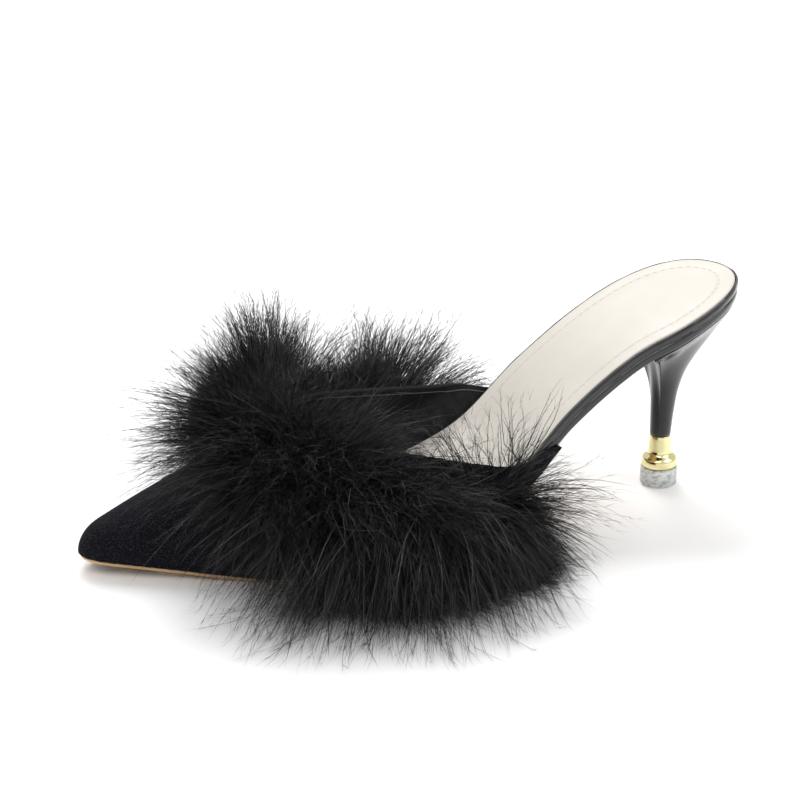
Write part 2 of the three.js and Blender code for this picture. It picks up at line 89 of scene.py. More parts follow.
# Sock: insets of its rings, its rolled edge, the sewn groove and the pad
SOCK_INSETS = [0, 0.08, 0.3, 0.65, 1.1, 2.6, 4.2, 4.9, 5.2, 5.4, 5.6, 5.9, 6.6, 8.0, 10.0]
SOCK_ROLL_WIDTH = 1.1
SOCK_ROLL_DEPTH = 0.45
GROOVE_WIDTH = 0.4
GROOVE_DEPTH = 0.22
STITCH_SINK = 0.16
PAD_RISE = 0.15

# Heel
HEEL_SETBACK = 23.8
SEAT_REACH = 38.5
SEAT_INSET = 0.6
SEAT_ROLL = 0.25
BREAST_HOLLOW = 4.0
RIDGE_TURN = 2.15
RIDGE_WIDTH = 0.16
RIDGE_RISE = 0.45
NECK_RADIUS = 3.6
COLLAR_HEIGHT = 11.4
COLLAR_RADIUS = 6.2
TIP_HEIGHT = 6.6
TIP_RADIUS = 6.4
TIP_EDGE = 0.7

# Trim: size of the down at its root, waves and shortening of the barbs as shares of their
# length, and the room that they keep from the suede, the sock and the floor
DOWN_SIZE = 18
WAVE = 0.05
SHORTENING = 0.12
SUEDE_GAP = 0.7
BED_GAP = 0.5
FLOOR_GAP = 0.35

# Camera, fitted to the outlines in the photograph: degrees, metres, millimetres of the shoe's
# frame, and pixels of a square picture
CAMERA_AZIMUTH = -20.4
CAMERA_ELEVATION = 23.6
CAMERA_DISTANCE = 0.908
CAMERA_TARGET = [-120.4, 0, 45.8]
FOCAL_PIXELS = 2728
PICTURE_PIXELS = 800
SENSOR_WIDTH = 36

# Places along the foot bed, from 0 at the seat to 1 at the toe
SHANK_END = 0.40
FOREFOOT_START = 0.58
ARCH_INSET_START = 0.30
ARCH_INSET_END = 0.42
SEAT_EASE = 0.006
WING_END = 0.30
THROAT_MIDDLE = 0.47
STITCH_END = 0.66
THROAT_END = 0.70
SOCK_TOE = 0.80
TOE_END = 0.999
FOREFOOT_STACK = OUTSOLE_FOREFOOT + BOARD_FOREFOOT + INSOLE_THICKNESS + 2 * CLEARANCE

LAST_COLUMNS = [
    "along", "outer", "inner", "rise", "spring", "ridge", "crown", "outer_bulge", "inner_bulge",
]
LAST_ROWS = [
    [0.00, 0.000, 0.000, 1.000, 0.00, 0.98, -0.02, 0.00, 0.00],
    [0.05, 0.255, 0.261, 0.957, 0.00, 0.98, -0.02, 0.00, 0.00],
    [0.12, 0.331, 0.331, 0.880, 0.00, 0.98, -0.03, 0.00, 0.00],
    [0.20, 0.313, 0.323, 0.760, 0.00, 1.00, -0.03, 0.04, 0.06],
    [0.30, 0.330, 0.310, 0.539, 0.00, 1.02, -0.03, 0.08, 0.08],
    [0.40, 0.405, 0.288, 0.270, 0.00, 1.03, -0.02, 0.10, 0.09],
    [0.48, 0.444, 0.341, 0.134, 0.00, 1.02, -0.01, 0.10, 0.08],
    [0.56, 0.474, 0.402, 0.038, 0.00, 0.96, 0.00, 0.08, 0.07],
    [0.64, 0.482, 0.478, 0.000, 0.00, 0.82, 0.02, 0.06, 0.06],
    [0.70, 0.454, 0.514, 0.000, 0.00, 0.685, 0.03, 0.05, 0.05],
    [0.76, 0.389, 0.488, 0.000, 0.00, 0.56, 0.04, 0.04, 0.04],
    [0.82, 0.296, 0.420, 0.000, 0.18, 0.445, 0.05, 0.03, 0.03],
    [0.88, 0.200, 0.327, 0.000, 0.46, 0.34, 0.06, 0.02, 0.02],
    [0.94, 0.107, 0.228, 0.000, 0.72, 0.237, 0.06, 0.01, 0.01],
    [0.98, 0.041, 0.158, 0.000, 0.91, 0.152, 0.06, 0.00, 0.00],
    [1.00, -0.059, 0.059, 0.000, 1.00, 0.00, 0.06, 0.00, 0.00],
]

TOPLINE_COLUMNS = ["along", "outer", "inner"]
TOPLINE_ROWS = [
    [0.22, 0.590, 0.600],
    [0.30, 0.560, 0.590],
    [0.36, 0.542, 0.612],
    [0.42, 0.566, 0.650],
    [0.48, 0.608, 0.684],
    [0.54, 0.660, 0.716],
    [0.60, 0.706, 0.744],
    [0.65, 0.750, 0.772],
    [0.68, 0.800, 0.806],
    [0.71, 1.100, 1.100],
]

TRIM_COLUMNS = ["place", "along", "over", "thick", "deep", "reach", "droop", "lift"]
TRIM_ROWS = [
    [0.00, 0.415, 0.035, 0.20, 0.20, 0.70, 0.25, -0.5],
    [0.08, 0.440, 0.060, 0.60, 0.85, 0.80, 0.30, -0.5],
    [0.20, 0.510, 0.095, 0.85, 1.05, 0.95, 0.35, -0.5],
    [0.32, 0.600, 0.140, 1.00, 1.05, 1.00, 0.35, -0.3],
    [0.43, 0.695, 0.240, 1.10, 0.90, 0.95, 0.25, -0.2],
    [0.53, 0.735, 0.470, 1.10, 0.80, 0.75, 0.12, -0.3],
    [0.63, 0.680, 0.700, 1.05, 0.85, 0.72, 0.12, -0.1],
    [0.74, 0.600, 0.820, 0.95, 0.85, 0.65, 0.10, 0.1],
    [0.86, 0.515, 0.880, 0.85, 0.75, 0.60, 0.10, 0.2],
    [1.00, 0.425, 0.930, 0.25, 0.25, 0.50, 0.15, 0.2],
]

HEEL_COLUMNS = ["height", "back", "front"]
HEEL_ROWS = [
    [0.00, 0.000, 0.000],
    [0.18, 0.045, 0.010],
    [0.34, 0.110, 0.020],
    [0.48, 0.230, 0.040],
    [0.60, 0.400, 0.090],
    [0.72, 0.600, 0.190],
    [0.83, 0.780, 0.370],
    [0.93, 0.930, 0.680],
    [1.00, 1.000, 1.000],
]

# Side of the wrapped board from its top to its bottom: depth as a share of its thickness, and
# how far it is drawn in, in millimetres
BAND_ROWS = [
    [0.00, 1.60],
    [-0.02, 1.12],
    [-0.12, 1.05],
    [-0.19, 0.88],
    [-0.21, 0.62],
    [-0.18, 0.38],
    [-0.10, 0.16],
    [0.00, 0.04],
    [0.10, 0.00],
    [0.18, 0.00],
    [0.24, 0.05],
    [0.29, 0.20],
    [0.33, 0.48],
    [0.36, 0.66],
    [0.39, 0.62],
    [0.42, 0.40],
    [0.46, 0.24],
    [0.54, 0.16],
    [0.66, 0.14],
    [0.78, 0.18],
    [0.88, 0.32],
    [0.95, 0.58],
    [0.99, 0.95],
    [1.00, 1.60],
]

# Folds of the wrap where the heel meets the shank: turn about the stem, height as a share,
# half widths of both, and depth in millimetres, below zero for a ridge
FOLD_ROWS = [
    [-1.92, 0.87, 0.13, 0.035, 1.7],
    [-1.92, 0.94, 0.22, 0.025, -0.5],
    [-1.66, 0.85, 0.09, 0.050, -0.5],
    [-2.45, 0.86, 0.14, 0.070, 0.7],
]

# Flex creases of the vamp: place along and over the last at both ends, half width and depth
CREASE_ROWS = [
    [0.745, 0.10, 0.735, 0.42, 2.6, 0.55],
    [0.765, 0.60, 0.745, 0.90, 2.6, 0.50],
    [0.790, 0.16, 0.800, 0.46, 2.2, 0.30],
    [0.700, 0.06, 0.690, 0.22, 2.4, 0.45],
]

# Edge of the sole from its top to its bottom, bevelled below: depth as a share of its
# thickness, and how far it is drawn in, in millimetres
SOLE_EDGE_ROWS = [
    [0.00, 0.25],
    [0.06, 0.06],
    [0.18, 0.00],
    [0.42, 0.00],
    [0.58, 0.16],
    [0.74, 0.55],
    [0.88, 1.05],
    [0.97, 1.50],
    [1.00, 1.80],
    [1.00, 3.00],
]

# Single plumes of the trim: place along it, heading as a fan angle and a lean along it, length
# in millimetres, how many barbs it has and how wide they spread
PLUME_COLUMNS = ["place", "fan", "lean", "length", "barbs", "spread"]
PLUME_ROWS = [
    [0.46, -0.60, 0.60, 62, 130, 0.13],
    [0.50, -0.57, -0.07, 68, 150, 0.12],
    [0.52, -0.73, 0.03, 52, 150, 0.14],
    [0.54, -0.50, -0.40, 57, 150, 0.14],
    [0.55, -0.33, -0.33, 52, 150, 0.12],
    [0.56, -0.23, -0.20, 44, 150, 0.14],
    [0.57, -0.10, -0.20, 40, 150, 0.14],
    [0.58, 0.23, -0.57, 46, 150, 0.12],
    [0.60, -0.17, 0.73, 42, 150, 0.14],
    [0.60, 0.50, -0.23, 51, 190, 0.11],
    [0.62, 0.27, 0.33, 50, 190, 0.12],
    [0.63, 0.23, 0.53, 56, 190, 0.11],
    [0.64, 0.10, 0.63, 52, 150, 0.14],
    [0.65, 0.17, 0.63, 48, 130, 0.12],
    [0.66, 0.20, 0.63, 52, 110, 0.13],
    [0.68, 0.27, 0.60, 46, 80, 0.16],
    [0.70, 0.40, 0.63, 52, 60, 0.14],
    [0.84, 0.30, 0.37, 50, 110, 0.11],
    [0.86, 0.23, 0.43, 46, 130, 0.10],
    [0.88, 0.33, 0.57, 46, 130, 0.12],
    [0.88, 0.23, 0.53, 38, 110, 0.14],
    [0.90, 0.40, 0.77, 51, 100, 0.12],
    [0.92, 0.77, 0.97, 44, 90, 0.13],
    [0.94, 0.53, 1.27, 46, 70, 0.12],
    [0.96, 0.43, 1.33, 48, 60, 0.12],
    [0.98, 0.47, 1.07, 40, 70, 0.14],
    [0.97, 0.60, 1.10, 54, 50, 0.10],
    [0.93, 0.70, 0.90, 54, 50, 0.10],
    [0.80, 0.13, 0.37, 34, 60, 0.16],
    [0.82, 0.23, 0.37, 42, 70, 0.13],
    [0.14, 1.27, -0.50, 50, 90, 0.13],
    [0.10, 1.17, -0.17, 54, 90, 0.12],
    [0.08, 1.00, 0.13, 50, 90, 0.13],
    [0.10, 0.70, -0.03, 46, 110, 0.14],
    [0.14, 0.53, -0.03, 54, 110, 0.13],
    [0.16, 0.27, -0.03, 56, 110, 0.14],
    [0.20, -0.23, -0.13, 58, 110, 0.15],
    [0.22, -0.37, 0.03, 66, 110, 0.13],
    [0.25, -0.37, 0.13, 68, 110, 0.13],
    [0.27, -0.27, 0.13, 66, 90, 0.15],
    [0.29, -0.53, 0.17, 60, 110, 0.15],
    [0.32, -0.53, 0.17, 64, 110, 0.14],
    [0.34, -0.57, 0.33, 68, 110, 0.13],
    [0.36, -0.67, 0.37, 64, 110, 0.14],
    [0.38, -0.70, 0.23, 70, 90, 0.12],
    [0.40, -0.70, 0.10, 70, 90, 0.13],
    [0.42, -0.80, 0.07, 58, 90, 0.15],
    [0.06, 2.25, 0.27, 56, 9, 0.10],
    [0.05, 2.18, 0.27, 53, 9, 0.12],
    [0.03, 2.13, -0.13, 53, 8, 0.14],
    [0.04, 1.96, 0.20, 65, 8, 0.10],
    [0.08, 2.23, 0.27, 50, 12, 0.12],
    [0.02, 2.10, 0.00, 40, 12, 0.16],
    [0.12, 2.23, 0.20, 57, 20, 0.12],
    [0.10, 2.25, 0.23, 53, 16, 0.12],
    [0.03, 1.93, 0.10, 37, 14, 0.16],
    [0.14, 2.25, 0.20, 50, 24, 0.14],
    [0.01, 2.03, 0.13, 30, 14, 0.18],
    [0.16, 2.20, 0.20, 53, 30, 0.14],
    [0.50, 0.92, -0.37, 41, 120, 0.15],
    [0.48, 1.17, -0.20, 37, 120, 0.15],
    [0.46, 1.27, -0.03, 43, 120, 0.15],
    [0.44, 1.44, -0.07, 47, 120, 0.15],
    [0.42, 1.24, -0.23, 51, 120, 0.15],
    [0.40, 1.10, -0.40, 53, 90, 0.15],
    [0.36, 1.17, -0.43, 45, 90, 0.15],
    [0.46, 1.32, -0.17, 55, 60, 0.14],
    [0.44, 1.12, -0.23, 65, 40, 0.12],
    [0.42, 1.05, -0.37, 70, 30, 0.12],
]

heel_tip_low, heel_tip_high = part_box("heel_tip")
SHIFT = np.array([
    1000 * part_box("insole")[1].x,
    500 * (heel_tip_low.y + heel_tip_high.y),
    0.0,
])


def smoothstep(value, low, high):
    share = np.clip((value - low) / (high - low), 0, 1)
    return share * share * (3 - 2 * share)


def lerp(start, end, share):
    return start + (end - start) * share


def bell(distance, width):
    """1 at no distance, and next to nothing beyond twice the width."""
    return np.exp(-((distance / width) ** 2))


def turn_of(along):
    """The turn from 0 to 1 at a place along, with short steps at the seat and the toe."""
    return np.arccos(1 - 2 * np.clip(along, 0, 1)) / np.pi


def along_of(turn):
    """The place along the foot bed at a turn."""
    return (1 - np.cos(np.pi * turn)) / 2


def read_table(columns, rows, warp=lambda place: place):
    """A reader of the smooth curves through a table's rows, the same as the solids use."""
    table = np.array(rows, float)
    places = warp(table[:, 0])
    count = len(places)

    def read(where):
        spot = np.clip(warp(np.asarray(where, float)), places[0], places[-1])
        after = np.clip(np.searchsorted(places, spot, side="right"), 1, count - 1)
        start, end = places[after - 1], places[after]
        has_before = after >= 2
        has_beyond = after + 1 < count
        before = np.where(has_before, after - 2, after)
        beyond = np.where(has_beyond, after + 1, after - 1)
        half = (end - start) / 2
        weight_before = half / (start - np.where(has_before, places[before], end))
        weight_beyond = half / (np.where(has_beyond, places[beyond], start) - end)
        p = (spot - start) / (end - start)
        p2, p3 = p * p, p * p * p
        shares = [
            (-weight_before * p3 + 2 * weight_before * p2 - weight_before * p, before),
            ((1 + weight_before) * p3 + (-1.5 - 2 * weight_before) * p2
             + (-0.5 + weight_before) * p + 1, after - 1),
            ((-1 - weight_beyond) * p3 + (1.5 + weight_beyond) * p2 + 0.5 * p, after),
            (weight_beyond * p3 - weight_beyond * p2, beyond),
        ]
        values = sum(share[..., None] * table[row] for share, row in shares)
        return {name: values[..., column] for column, name in enumerate(columns)}

    return read


read_last = read_table(LAST_COLUMNS, LAST_ROWS, turn_of)
read_topline = read_table(TOPLINE_COLUMNS, TOPLINE_ROWS)
read_trim = read_table(TRIM_COLUMNS, TRIM_ROWS)
read_heel = read_table(HEEL_COLUMNS, HEEL_ROWS)


def shank_share(along):
    """1 along the stiff shank, and 0 along the forefoot."""
    return 1 - smoothstep(along, SHANK_END, FOREFOOT_START)


def footbed_height(along):
    """Height of the insole's top over the floor."""
    row = read_last(along)
    rise = np.maximum(0, row["rise"]) * (SEAT_HEIGHT - FOREFOOT_STACK)
    return FOREFOOT_STACK + rise + np.maximum(0, row["spring"]) * TOE_SPRING


def layers(along):
    """Heights of the layers under the foot, from the top of the insole down."""
    step = 0.004
    middle = np.clip(along, step, 1 - step)
    fall = footbed_height(middle - step) - footbed_height(middle + step)
    stretch = np.hypot(1, fall / (2 * step * FOOTBED_LENGTH))
    shank = shank_share(along)
    height = footbed_height(along)
    level = {"insole_top": height}
    for name, thickness in (
        ("insole_bottom", INSOLE_THICKNESS),
        ("board_top", CLEARANCE),
        ("board_bottom", lerp(BOARD_FOREFOOT, BOARD_SHANK, shank)),
        ("outsole_top", CLEARANCE),
        ("outsole_bottom", lerp(OUTSOLE_FOREFOOT, OUTSOLE_SHANK, shank)),
    ):
        height = height - thickness * stretch
        level[name] = height
    return level


def along_at(x):
    """The place along the foot bed at x, eased at the very back so that no edge is left there."""
    return np.clip(np.hypot(np.maximum(-x / FOOTBED_LENGTH, 0), SEAT_EASE), 0, 1)


def over_bed(flat, rise):
    """Flat points, lifted to that far above the insole's top."""
    return np.column_stack([flat, footbed_height(along_at(flat[:, 0])) + rise])


def outline_point(around):
    """A point of the foot bed's outline from above, at a turn around it."""
    around = np.asarray(around, float) % 2
    outer_side = around <= 1
    along = along_of(np.where(outer_side, around, 2 - around))
    row = read_last(along)
    y = np.where(outer_side, -row["outer"], row["inner"]) * BALL_WIDTH
    return np.stack([-along * FOOTBED_LENGTH, y], axis=-1)


def offset_outline(around, offset):
    """The outline of the foot bed from above, moved outward by offset."""
    step = 0.002
    before = outline_point(around - step)
    after = outline_point(around + step)
    normal = np.stack([before[..., 1] - after[..., 1], after[..., 0] - before[..., 0]], axis=-1)
    normal /= np.linalg.norm(normal, axis=-1, keepdims=True)
    return outline_point(around) + normal * np.asarray(offset)[..., None]


def board_inset(along):
    """How far the board is drawn in from the outline, below zero along the shank."""
    return lerp(WALL + CLEARANCE, -INSOLE_INSET, shank_share(along))


def places_around(start_along, steps):
    """Turns around the outline, from its outer side past the toe to its inner side."""
    start = turn_of(start_along)
    return np.linspace(start, 2 - start, 2 * steps + 1)


def along_around(around):
    """The places along the foot bed at turns around the outline."""
    return along_of(np.where(around <= 1, around, 2 - around))


def swell_at(up):
    """How much the sides of the last bulge at a height of up, a share of the instep's."""
    return SWELL_SCALE * smoothstep(up, SWELL_START, SWELL_FULL) * (1 - up) ** 2


def last_side(along, is_outer):
    """The y of the last's outer or inner edge, and how far that side bulges."""
    row = read_last(along)
    way = np.where(is_outer, -1, 1)
    stand = WALL + CLEARANCE - board_inset(along)
    edge = np.where(is_outer, row["outer"], row["inner"]) * BALL_WIDTH + stand
    bulge = np.where(is_outer, row["outer_bulge"], row["inner_bulge"]) * BALL_WIDTH
    return way * edge, way * bulge


def last_point(along, over):
    """A point of the last's surface, from its outer edge at over 0 to its inner edge at 1."""
    row = read_last(along)
    side = np.cos(np.pi * over)
    up = np.sin(np.pi * over)
    edge, bulge = last_side(along, side > 0)
    y = lerp(row["crown"] * BALL_WIDTH, edge, np.abs(side) ** FULLNESS) + bulge * swell_at(up)
    base = layers(along)["outsole_top"] + CLEARANCE
    z = base + np.maximum(0, row["ridge"]) * INSTEP_HEIGHT * up
    return np.stack([-along * FOOTBED_LENGTH, y, z], axis=-1)


def last_normal(along, over):
    """The way out of the last's surface."""
    step = 0.003
    turn = np.minimum(turn_of(along), 1 - 2 * step)
    ahead = last_point(along_of(turn + step), over)
    behind = last_point(along_of(turn - step), over)
    lower = last_point(along_of(turn), over - step)
    higher = last_point(along_of(turn), over + step)
    return unit(np.cross(higher - lower, ahead - behind))


def unit(vectors):
    return vectors / np.maximum(np.linalg.norm(vectors, axis=-1, keepdims=True), 1e-9)


def length_along(line):
    """The length of a line up to each of its points."""
    return np.cumsum(np.concatenate([[0], np.linalg.norm(np.diff(line, axis=0), axis=1)]))


def cut_height(along, y):
    """Height of the topline's cut over the floor."""
    row = read_topline(along)
    share = (y + BALL_WIDTH) / (2 * BALL_WIDTH)
    return lerp(row["outer"], row["inner"], share) * INSTEP_HEIGHT


def build(name, points, face_groups, material, slot, node=None):
    """A smooth mesh piece from points in millimetres and arrays of corner numbers."""
    mesh = bpy.data.meshes.new(name)
    counts = np.concatenate([np.full(len(group), group.shape[1]) for group in face_groups])
    corners = np.concatenate([group.ravel() for group in face_groups]).astype(np.int32)
    starts = np.concatenate([[0], np.cumsum(counts)[:-1]]).astype(np.int32)
    mesh.vertices.add(len(points))
    mesh.vertices.foreach_set("co", ((points + SHIFT) * 0.001).astype(np.float32).ravel())
    mesh.loops.add(len(corners))
    mesh.loops.foreach_set("vertex_index", corners)
    mesh.polygons.add(len(counts))
    mesh.polygons.foreach_set("loop_start", starts)
    mesh.polygons.foreach_set("use_smooth", np.ones(len(counts), bool))
    mesh.update(calc_edges=True)
    mesh.validate()
    mesh.materials.append(material)
    piece = bpy.data.objects.new(name, mesh)
    bpy.context.scene.collection.objects.link(piece)
    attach(piece, "root")
    if node:
        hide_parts(node)


def ring_quads(levels, count, closed=True, start=0):
    """Quads between rings of count points that follow each other."""
    step = np.arange(count if closed else count - 1)
    after = (step + 1) % count
    quads = []
    for level in range(levels - 1):
        here = start + level * count
        quads.append(np.column_stack([
            here + step, here + after, here + count + after, here + count + step,
        ]))
    return np.concatenate(quads)


def paired_quads(count, start=0, flip=False):
    """A lid that pairs the two sides of a ring whose first and last points are neighbours."""
    step = np.arange(count // 2)
    other = count - 1 - step
    quads = start + np.column_stack([step, step + 1, other - 1, other])
    quads = quads[(step + 1) < (other - 1)]
    return quads[:, ::-1] if flip else quads


def lidded(rings):
    """Points and faces of a tube of rings, with a fan of triangles over either end."""
    levels, count, _ = rings.shape
    step = np.arange(count)
    after = (step + 1) % count
    top = (levels - 1) * count
    centre = levels * count
    points = np.concatenate([rings.reshape(-1, 3), rings[[0, -1]].mean(1)])
    return points, [
        ring_quads(levels, count),
        np.column_stack([after, step, np.full(count, centre)]),
        np.column_stack([top + step, top + after, np.full(count, centre + 1)]),
    ]


def layer_piece(name, around, rows, offset_at, layer, material, slot, node):
    """A flat layer: each row of its side has a depth, a share of its thickness, and an inset."""
    rings = []
    for depth, inset in rows:
        flat = offset_outline(around, offset_at(depth, inset))
        level = layers(along_at(flat[:, 0]))
        z = lerp(level[layer + "_top"], level[layer + "_bottom"], depth)
        rings.append(np.column_stack([flat, z]))
    count = len(around)
    build(name, np.concatenate(rings), [
        ring_quads(len(rings), count),
        paired_quads(count),
        paired_quads(count, (len(rings) - 1) * count, flip=True),
    ], material, slot, node)


def set_inputs(node, values):
    for socket, value in values:
        node.inputs[socket].default_value = value


def material_tools(name):
    """A new material, its shader and links, and makers of noises, ramps and bumps."""
    material = bpy.data.materials.new(name)
    material.use_nodes = True
    nodes = material.node_tree.nodes
    links = material.node_tree.links
    place = nodes.new("ShaderNodeTexCoord").outputs["Object"]

    def noise(scale, detail, roughness=0.6, stretch=(1, 1, 1)):
        mapping = nodes.new("ShaderNodeMapping")
        set_inputs(mapping, [("Scale", stretch)])
        links.new(place, mapping.inputs["Vector"])
        texture = nodes.new("ShaderNodeTexNoise")
        links.new(mapping.outputs["Vector"], texture.inputs["Vector"])
        set_inputs(texture, [("Scale", scale), ("Detail", detail), ("Roughness", roughness)])
        return texture.outputs["Fac"]

    def ramp(source, stops):
        node = nodes.new("ShaderNodeValToRGB")
        links.new(source, node.inputs["Fac"])
        elements = node.color_ramp.elements
        while len(elements) < len(stops):
            elements.new(0.5)
        for element, (position, color) in zip(elements, stops):
            element.position = position
            if isinstance(color, (int, float)):
                color = (color, color, color)
            element.color = (*color, 1)
        return node.outputs["Color"]

    def bump(source, strength, distance, below=None):
        node = nodes.new("ShaderNodeBump")
        set_inputs(node, [("Strength", strength), ("Distance", distance)])
        links.new(source, node.inputs["Height"])
        if below:
            links.new(below, node.inputs["Normal"])
        return node.outputs["Normal"]

    return material, nodes["Principled BSDF"], links, noise, ramp, bump


def noise_material(name, tone, colors, bumps, rough=None, values=()):
    """A material of noises, each a scale, a detail and at times a roughness and a stretch.

    Tone is the noise of the colours, rough that of the roughness with its stops, and a bump
    has a noise, a strength and a distance in metres. Values go to the shader's sockets.
    """
    material, shader, links, noise, ramp, bump = material_tools(name)
    links.new(ramp(noise(*tone), colors), shader.inputs["Base Color"])
    if rough:
        links.new(ramp(noise(*rough[0]), rough[1]), shader.inputs["Roughness"])
    normal = None
    for grain, strength, distance in bumps:
        normal = bump(noise(*grain), strength, distance, normal)
    links.new(normal, shader.inputs["Normal"])
    set_inputs(shader, values)
    return material


def patent_material(name, low, high, roughness, coat, wave_strength):
    """Glossy black leather, a little wavy."""
    return noise_material(
        name, (180, 3), [(0.3, low), (0.7, high)],
        [((150, 2), wave_strength, 0.0006), ((2200, 4), 0.05, 0.00006)],
        ((700, 4), [(0.3, roughness * 0.9), (0.7, roughness * 1.1)]),
        [("Specular IOR Level", 0.4), ("Coat Weight", coat), ("Coat Roughness", 0.08)],
    )


def feather_material(name, dark, light, roughness):
    """Each barb takes a tone at random between dark and light, and patches of barbs are darker than
    others. The lighter tones are partly painted sheen on barbs that catch the light.
    """
    material, shader, links, noise, ramp, bump = material_tools(name)
    nodes = material.node_tree.nodes
    each = nodes.new("ShaderNodeNewGeometry").outputs["Random Per Island"]
    mix = nodes.new("ShaderNodeMix")
    mix.data_type = "RGBA"
    mix.blend_type = "MULTIPLY"
    set_inputs(mix, [("Factor", 1.0)])
    # Random tone per barb; its light end is partly painted sheen
    links.new(ramp(each, [(0.0, dark), (0.45, dark), (1.0, light)]), mix.inputs[6])
    links.new(ramp(noise(120, 3), [(0.3, 0.30), (0.75, 1.0)]), mix.inputs[7])
    links.new(mix.outputs[2], shader.inputs["Base Color"])
    set_inputs(shader, [("Roughness", roughness), ("Specular IOR Level", 0.3)])
    links.new(bump(noise(3000, 2), 0.2, 0.0001), shader.inputs["Normal"])
    return material


NAP = (2100, 4)
SUEDE = noise_material(
    "suede", NAP,
    [(0.40, (0.0008, 0.0008, 0.0014)), (0.57, (0.006, 0.006, 0.010)), (0.72, (0.045, 0.045, 0.058))],
    [((800, 4), 0.45, 0.0004), (NAP, 0.8, 0.0003)],
    ((60, 3), [(0.3, 0.86), (0.7, 0.97)]),
    [("Specular IOR Level", 0.12), ("Sheen Weight", 0.02), ("Sheen Roughness", 0.5),
     ("Sheen Tint", (0.45, 0.45, 0.65, 1))],
)

LINING_GRAIN = (1600, 4)
LINING = noise_material(
    "lining", LINING_GRAIN, [(0.3, (0.002, 0.002, 0.002)), (0.7, (0.009, 0.009, 0.010))],
    [(LINING_GRAIN, 0.5, 0.0002)],
    ((300, 3), [(0.3, 0.6), (0.7, 0.8)]), [("Specular IOR Level", 0.25)],
)

SOCK_GRAIN = (2600, 5)
INSOLE = noise_material(
    "insole_leather", (28, 3), [(0.35, (0.565, 0.53, 0.474)), (0.65, (0.615, 0.58, 0.528))],
    [((70, 2), 0.25, 0.0006), (SOCK_GRAIN, 0.12, 0.00008)],
    (SOCK_GRAIN, [(0.3, 0.42), (0.7, 0.58)]),
)

THREAD_TWIST = (2400, 2)
THREAD = noise_material(
    "thread", THREAD_TWIST, [(0.3, (0.56, 0.54, 0.51)), (0.7, (0.66, 0.64, 0.61))],
    [(THREAD_TWIST, 0.4, 0.0001)], values=[("Roughness", 0.7)],
)

SEAM_TWIST = (2000, 2)
SEAM = noise_material(
    "piping", SEAM_TWIST, [(0.3, 0.03), (0.7, 0.09)],
    [(SEAM_TWIST, 0.4, 0.0001)], values=[("Roughness", 0.55)],
)

PATENT = patent_material("patent_wrap", (0.004,) * 3, (0.009, 0.009, 0.010), 0.14, 0.6, 0.10)
HEEL_WRAP = patent_material("heel_wrap", (0.005,) * 3, (0.010, 0.010, 0.011), 0.25, 0.3, 0.03)

SOLE_GRAIN = (1500, 4)
SOLE = noise_material(
    "sole_leather", (90, 4, 0.6, (1, 3, 1)),
    [(0.3, (0.50, 0.30, 0.135)), (0.7, (0.62, 0.40, 0.20))],
    [(SOLE_GRAIN, 0.15, 0.0001)], (SOLE_GRAIN, [(0.3, 0.38), (0.7, 0.55)]),
)

GOLD = noise_material(
    "gold", (240, 2), [(0.3, (0.80, 0.72, 0.36)), (0.7, (0.88, 0.81, 0.48))],
    [((500, 2), 0.04, 0.0001)], ((900, 3), [(0.3, 0.10), (0.7, 0.16)]), [("Metallic", 1.0)],
)

SWIRL = (520, 6, 0.7, (1, 1, 1.8))
CLEAR = noise_material(
    "clear_plastic", SWIRL, [(0.42, (0.55, 0.60, 0.58)), (0.50, (0.98, 0.99, 0.98)), (0.7, 1.0)],
    [(SWIRL, 0.8, 0.0008)], (SWIRL, [(0.4, 0.04), (0.6, 0.22)]),
    [("Transmission Weight", 0.42), ("IOR", 1.46)],
)

# The light end of the trim's barbs is partly their own lighter tone and partly painted sheen
FEATHER = feather_material("feather", 0.0035, (0.085, 0.085, 0.087), 0.5)
QUILL = feather_material("quill", 0.02, 0.16, 0.4)
DOWN = feather_material("down", 0.003, 0.010, 0.9)


def insole():
    """The sock: a rolled edge, a sewn groove inside it and a soft pad within."""
    around = places_around(0, 200)[:-1]
    along = along_around(around)
    outline = read_last(along)
    edge = -board_inset(along) - INSOLE_INSET
    room = np.minimum(outline["outer"], outline["inner"]) * BALL_WIDTH
    room = np.maximum(room - board_inset(along) - INSOLE_INSET, 0.4)
    reach = np.where(along < SOCK_TOE, BALL_WIDTH, room) * 0.85
    bottom = offset_outline(around, edge)
    rings = [np.column_stack([bottom, layers(along_at(bottom[:, 0]))["insole_bottom"]])]
    for inset in SOCK_INSETS:
        drawn = np.minimum(inset, reach * inset / SOCK_INSETS[-1] + 0.02)
        flat = offset_outline(around, edge - np.where(reach > inset, inset, drawn))
        roll = np.sin(np.pi / 2 * min(1, inset / SOCK_ROLL_WIDTH)) ** 0.5
        relief = -SOCK_ROLL_DEPTH * (1 - roll)
        relief -= GROOVE_DEPTH * bell(inset - STITCH_INSET, GROOVE_WIDTH)
        relief += PAD_RISE * smoothstep(inset, 6, SOCK_INSETS[-1])
        rings.append(over_bed(flat, relief))
    count = len(around)
    half = count // 2
    groups = [ring_quads(len(rings), count), paired_quads(count, flip=True)]
    start = (len(rings) - 1) * count
    near, far = flat[:half], flat[::-1][:half]
    lines = [start + np.arange(half)]
    across = 14
    for step in range(1, across):
        lines.append(start + count + (step - 1) * half + np.arange(half))
        rings.append(over_bed(lerp(near, far, step / across), PAD_RISE))
    lines.append(start + (count - 1 - np.arange(half)))
    for low, high in zip(lines, lines[1:]):
        groups.append(np.column_stack([low[:-1], low[1:], high[1:], high[:-1]]))
    build("insole_sock", np.concatenate(rings), groups, INSOLE, "insole_leather", "insole")


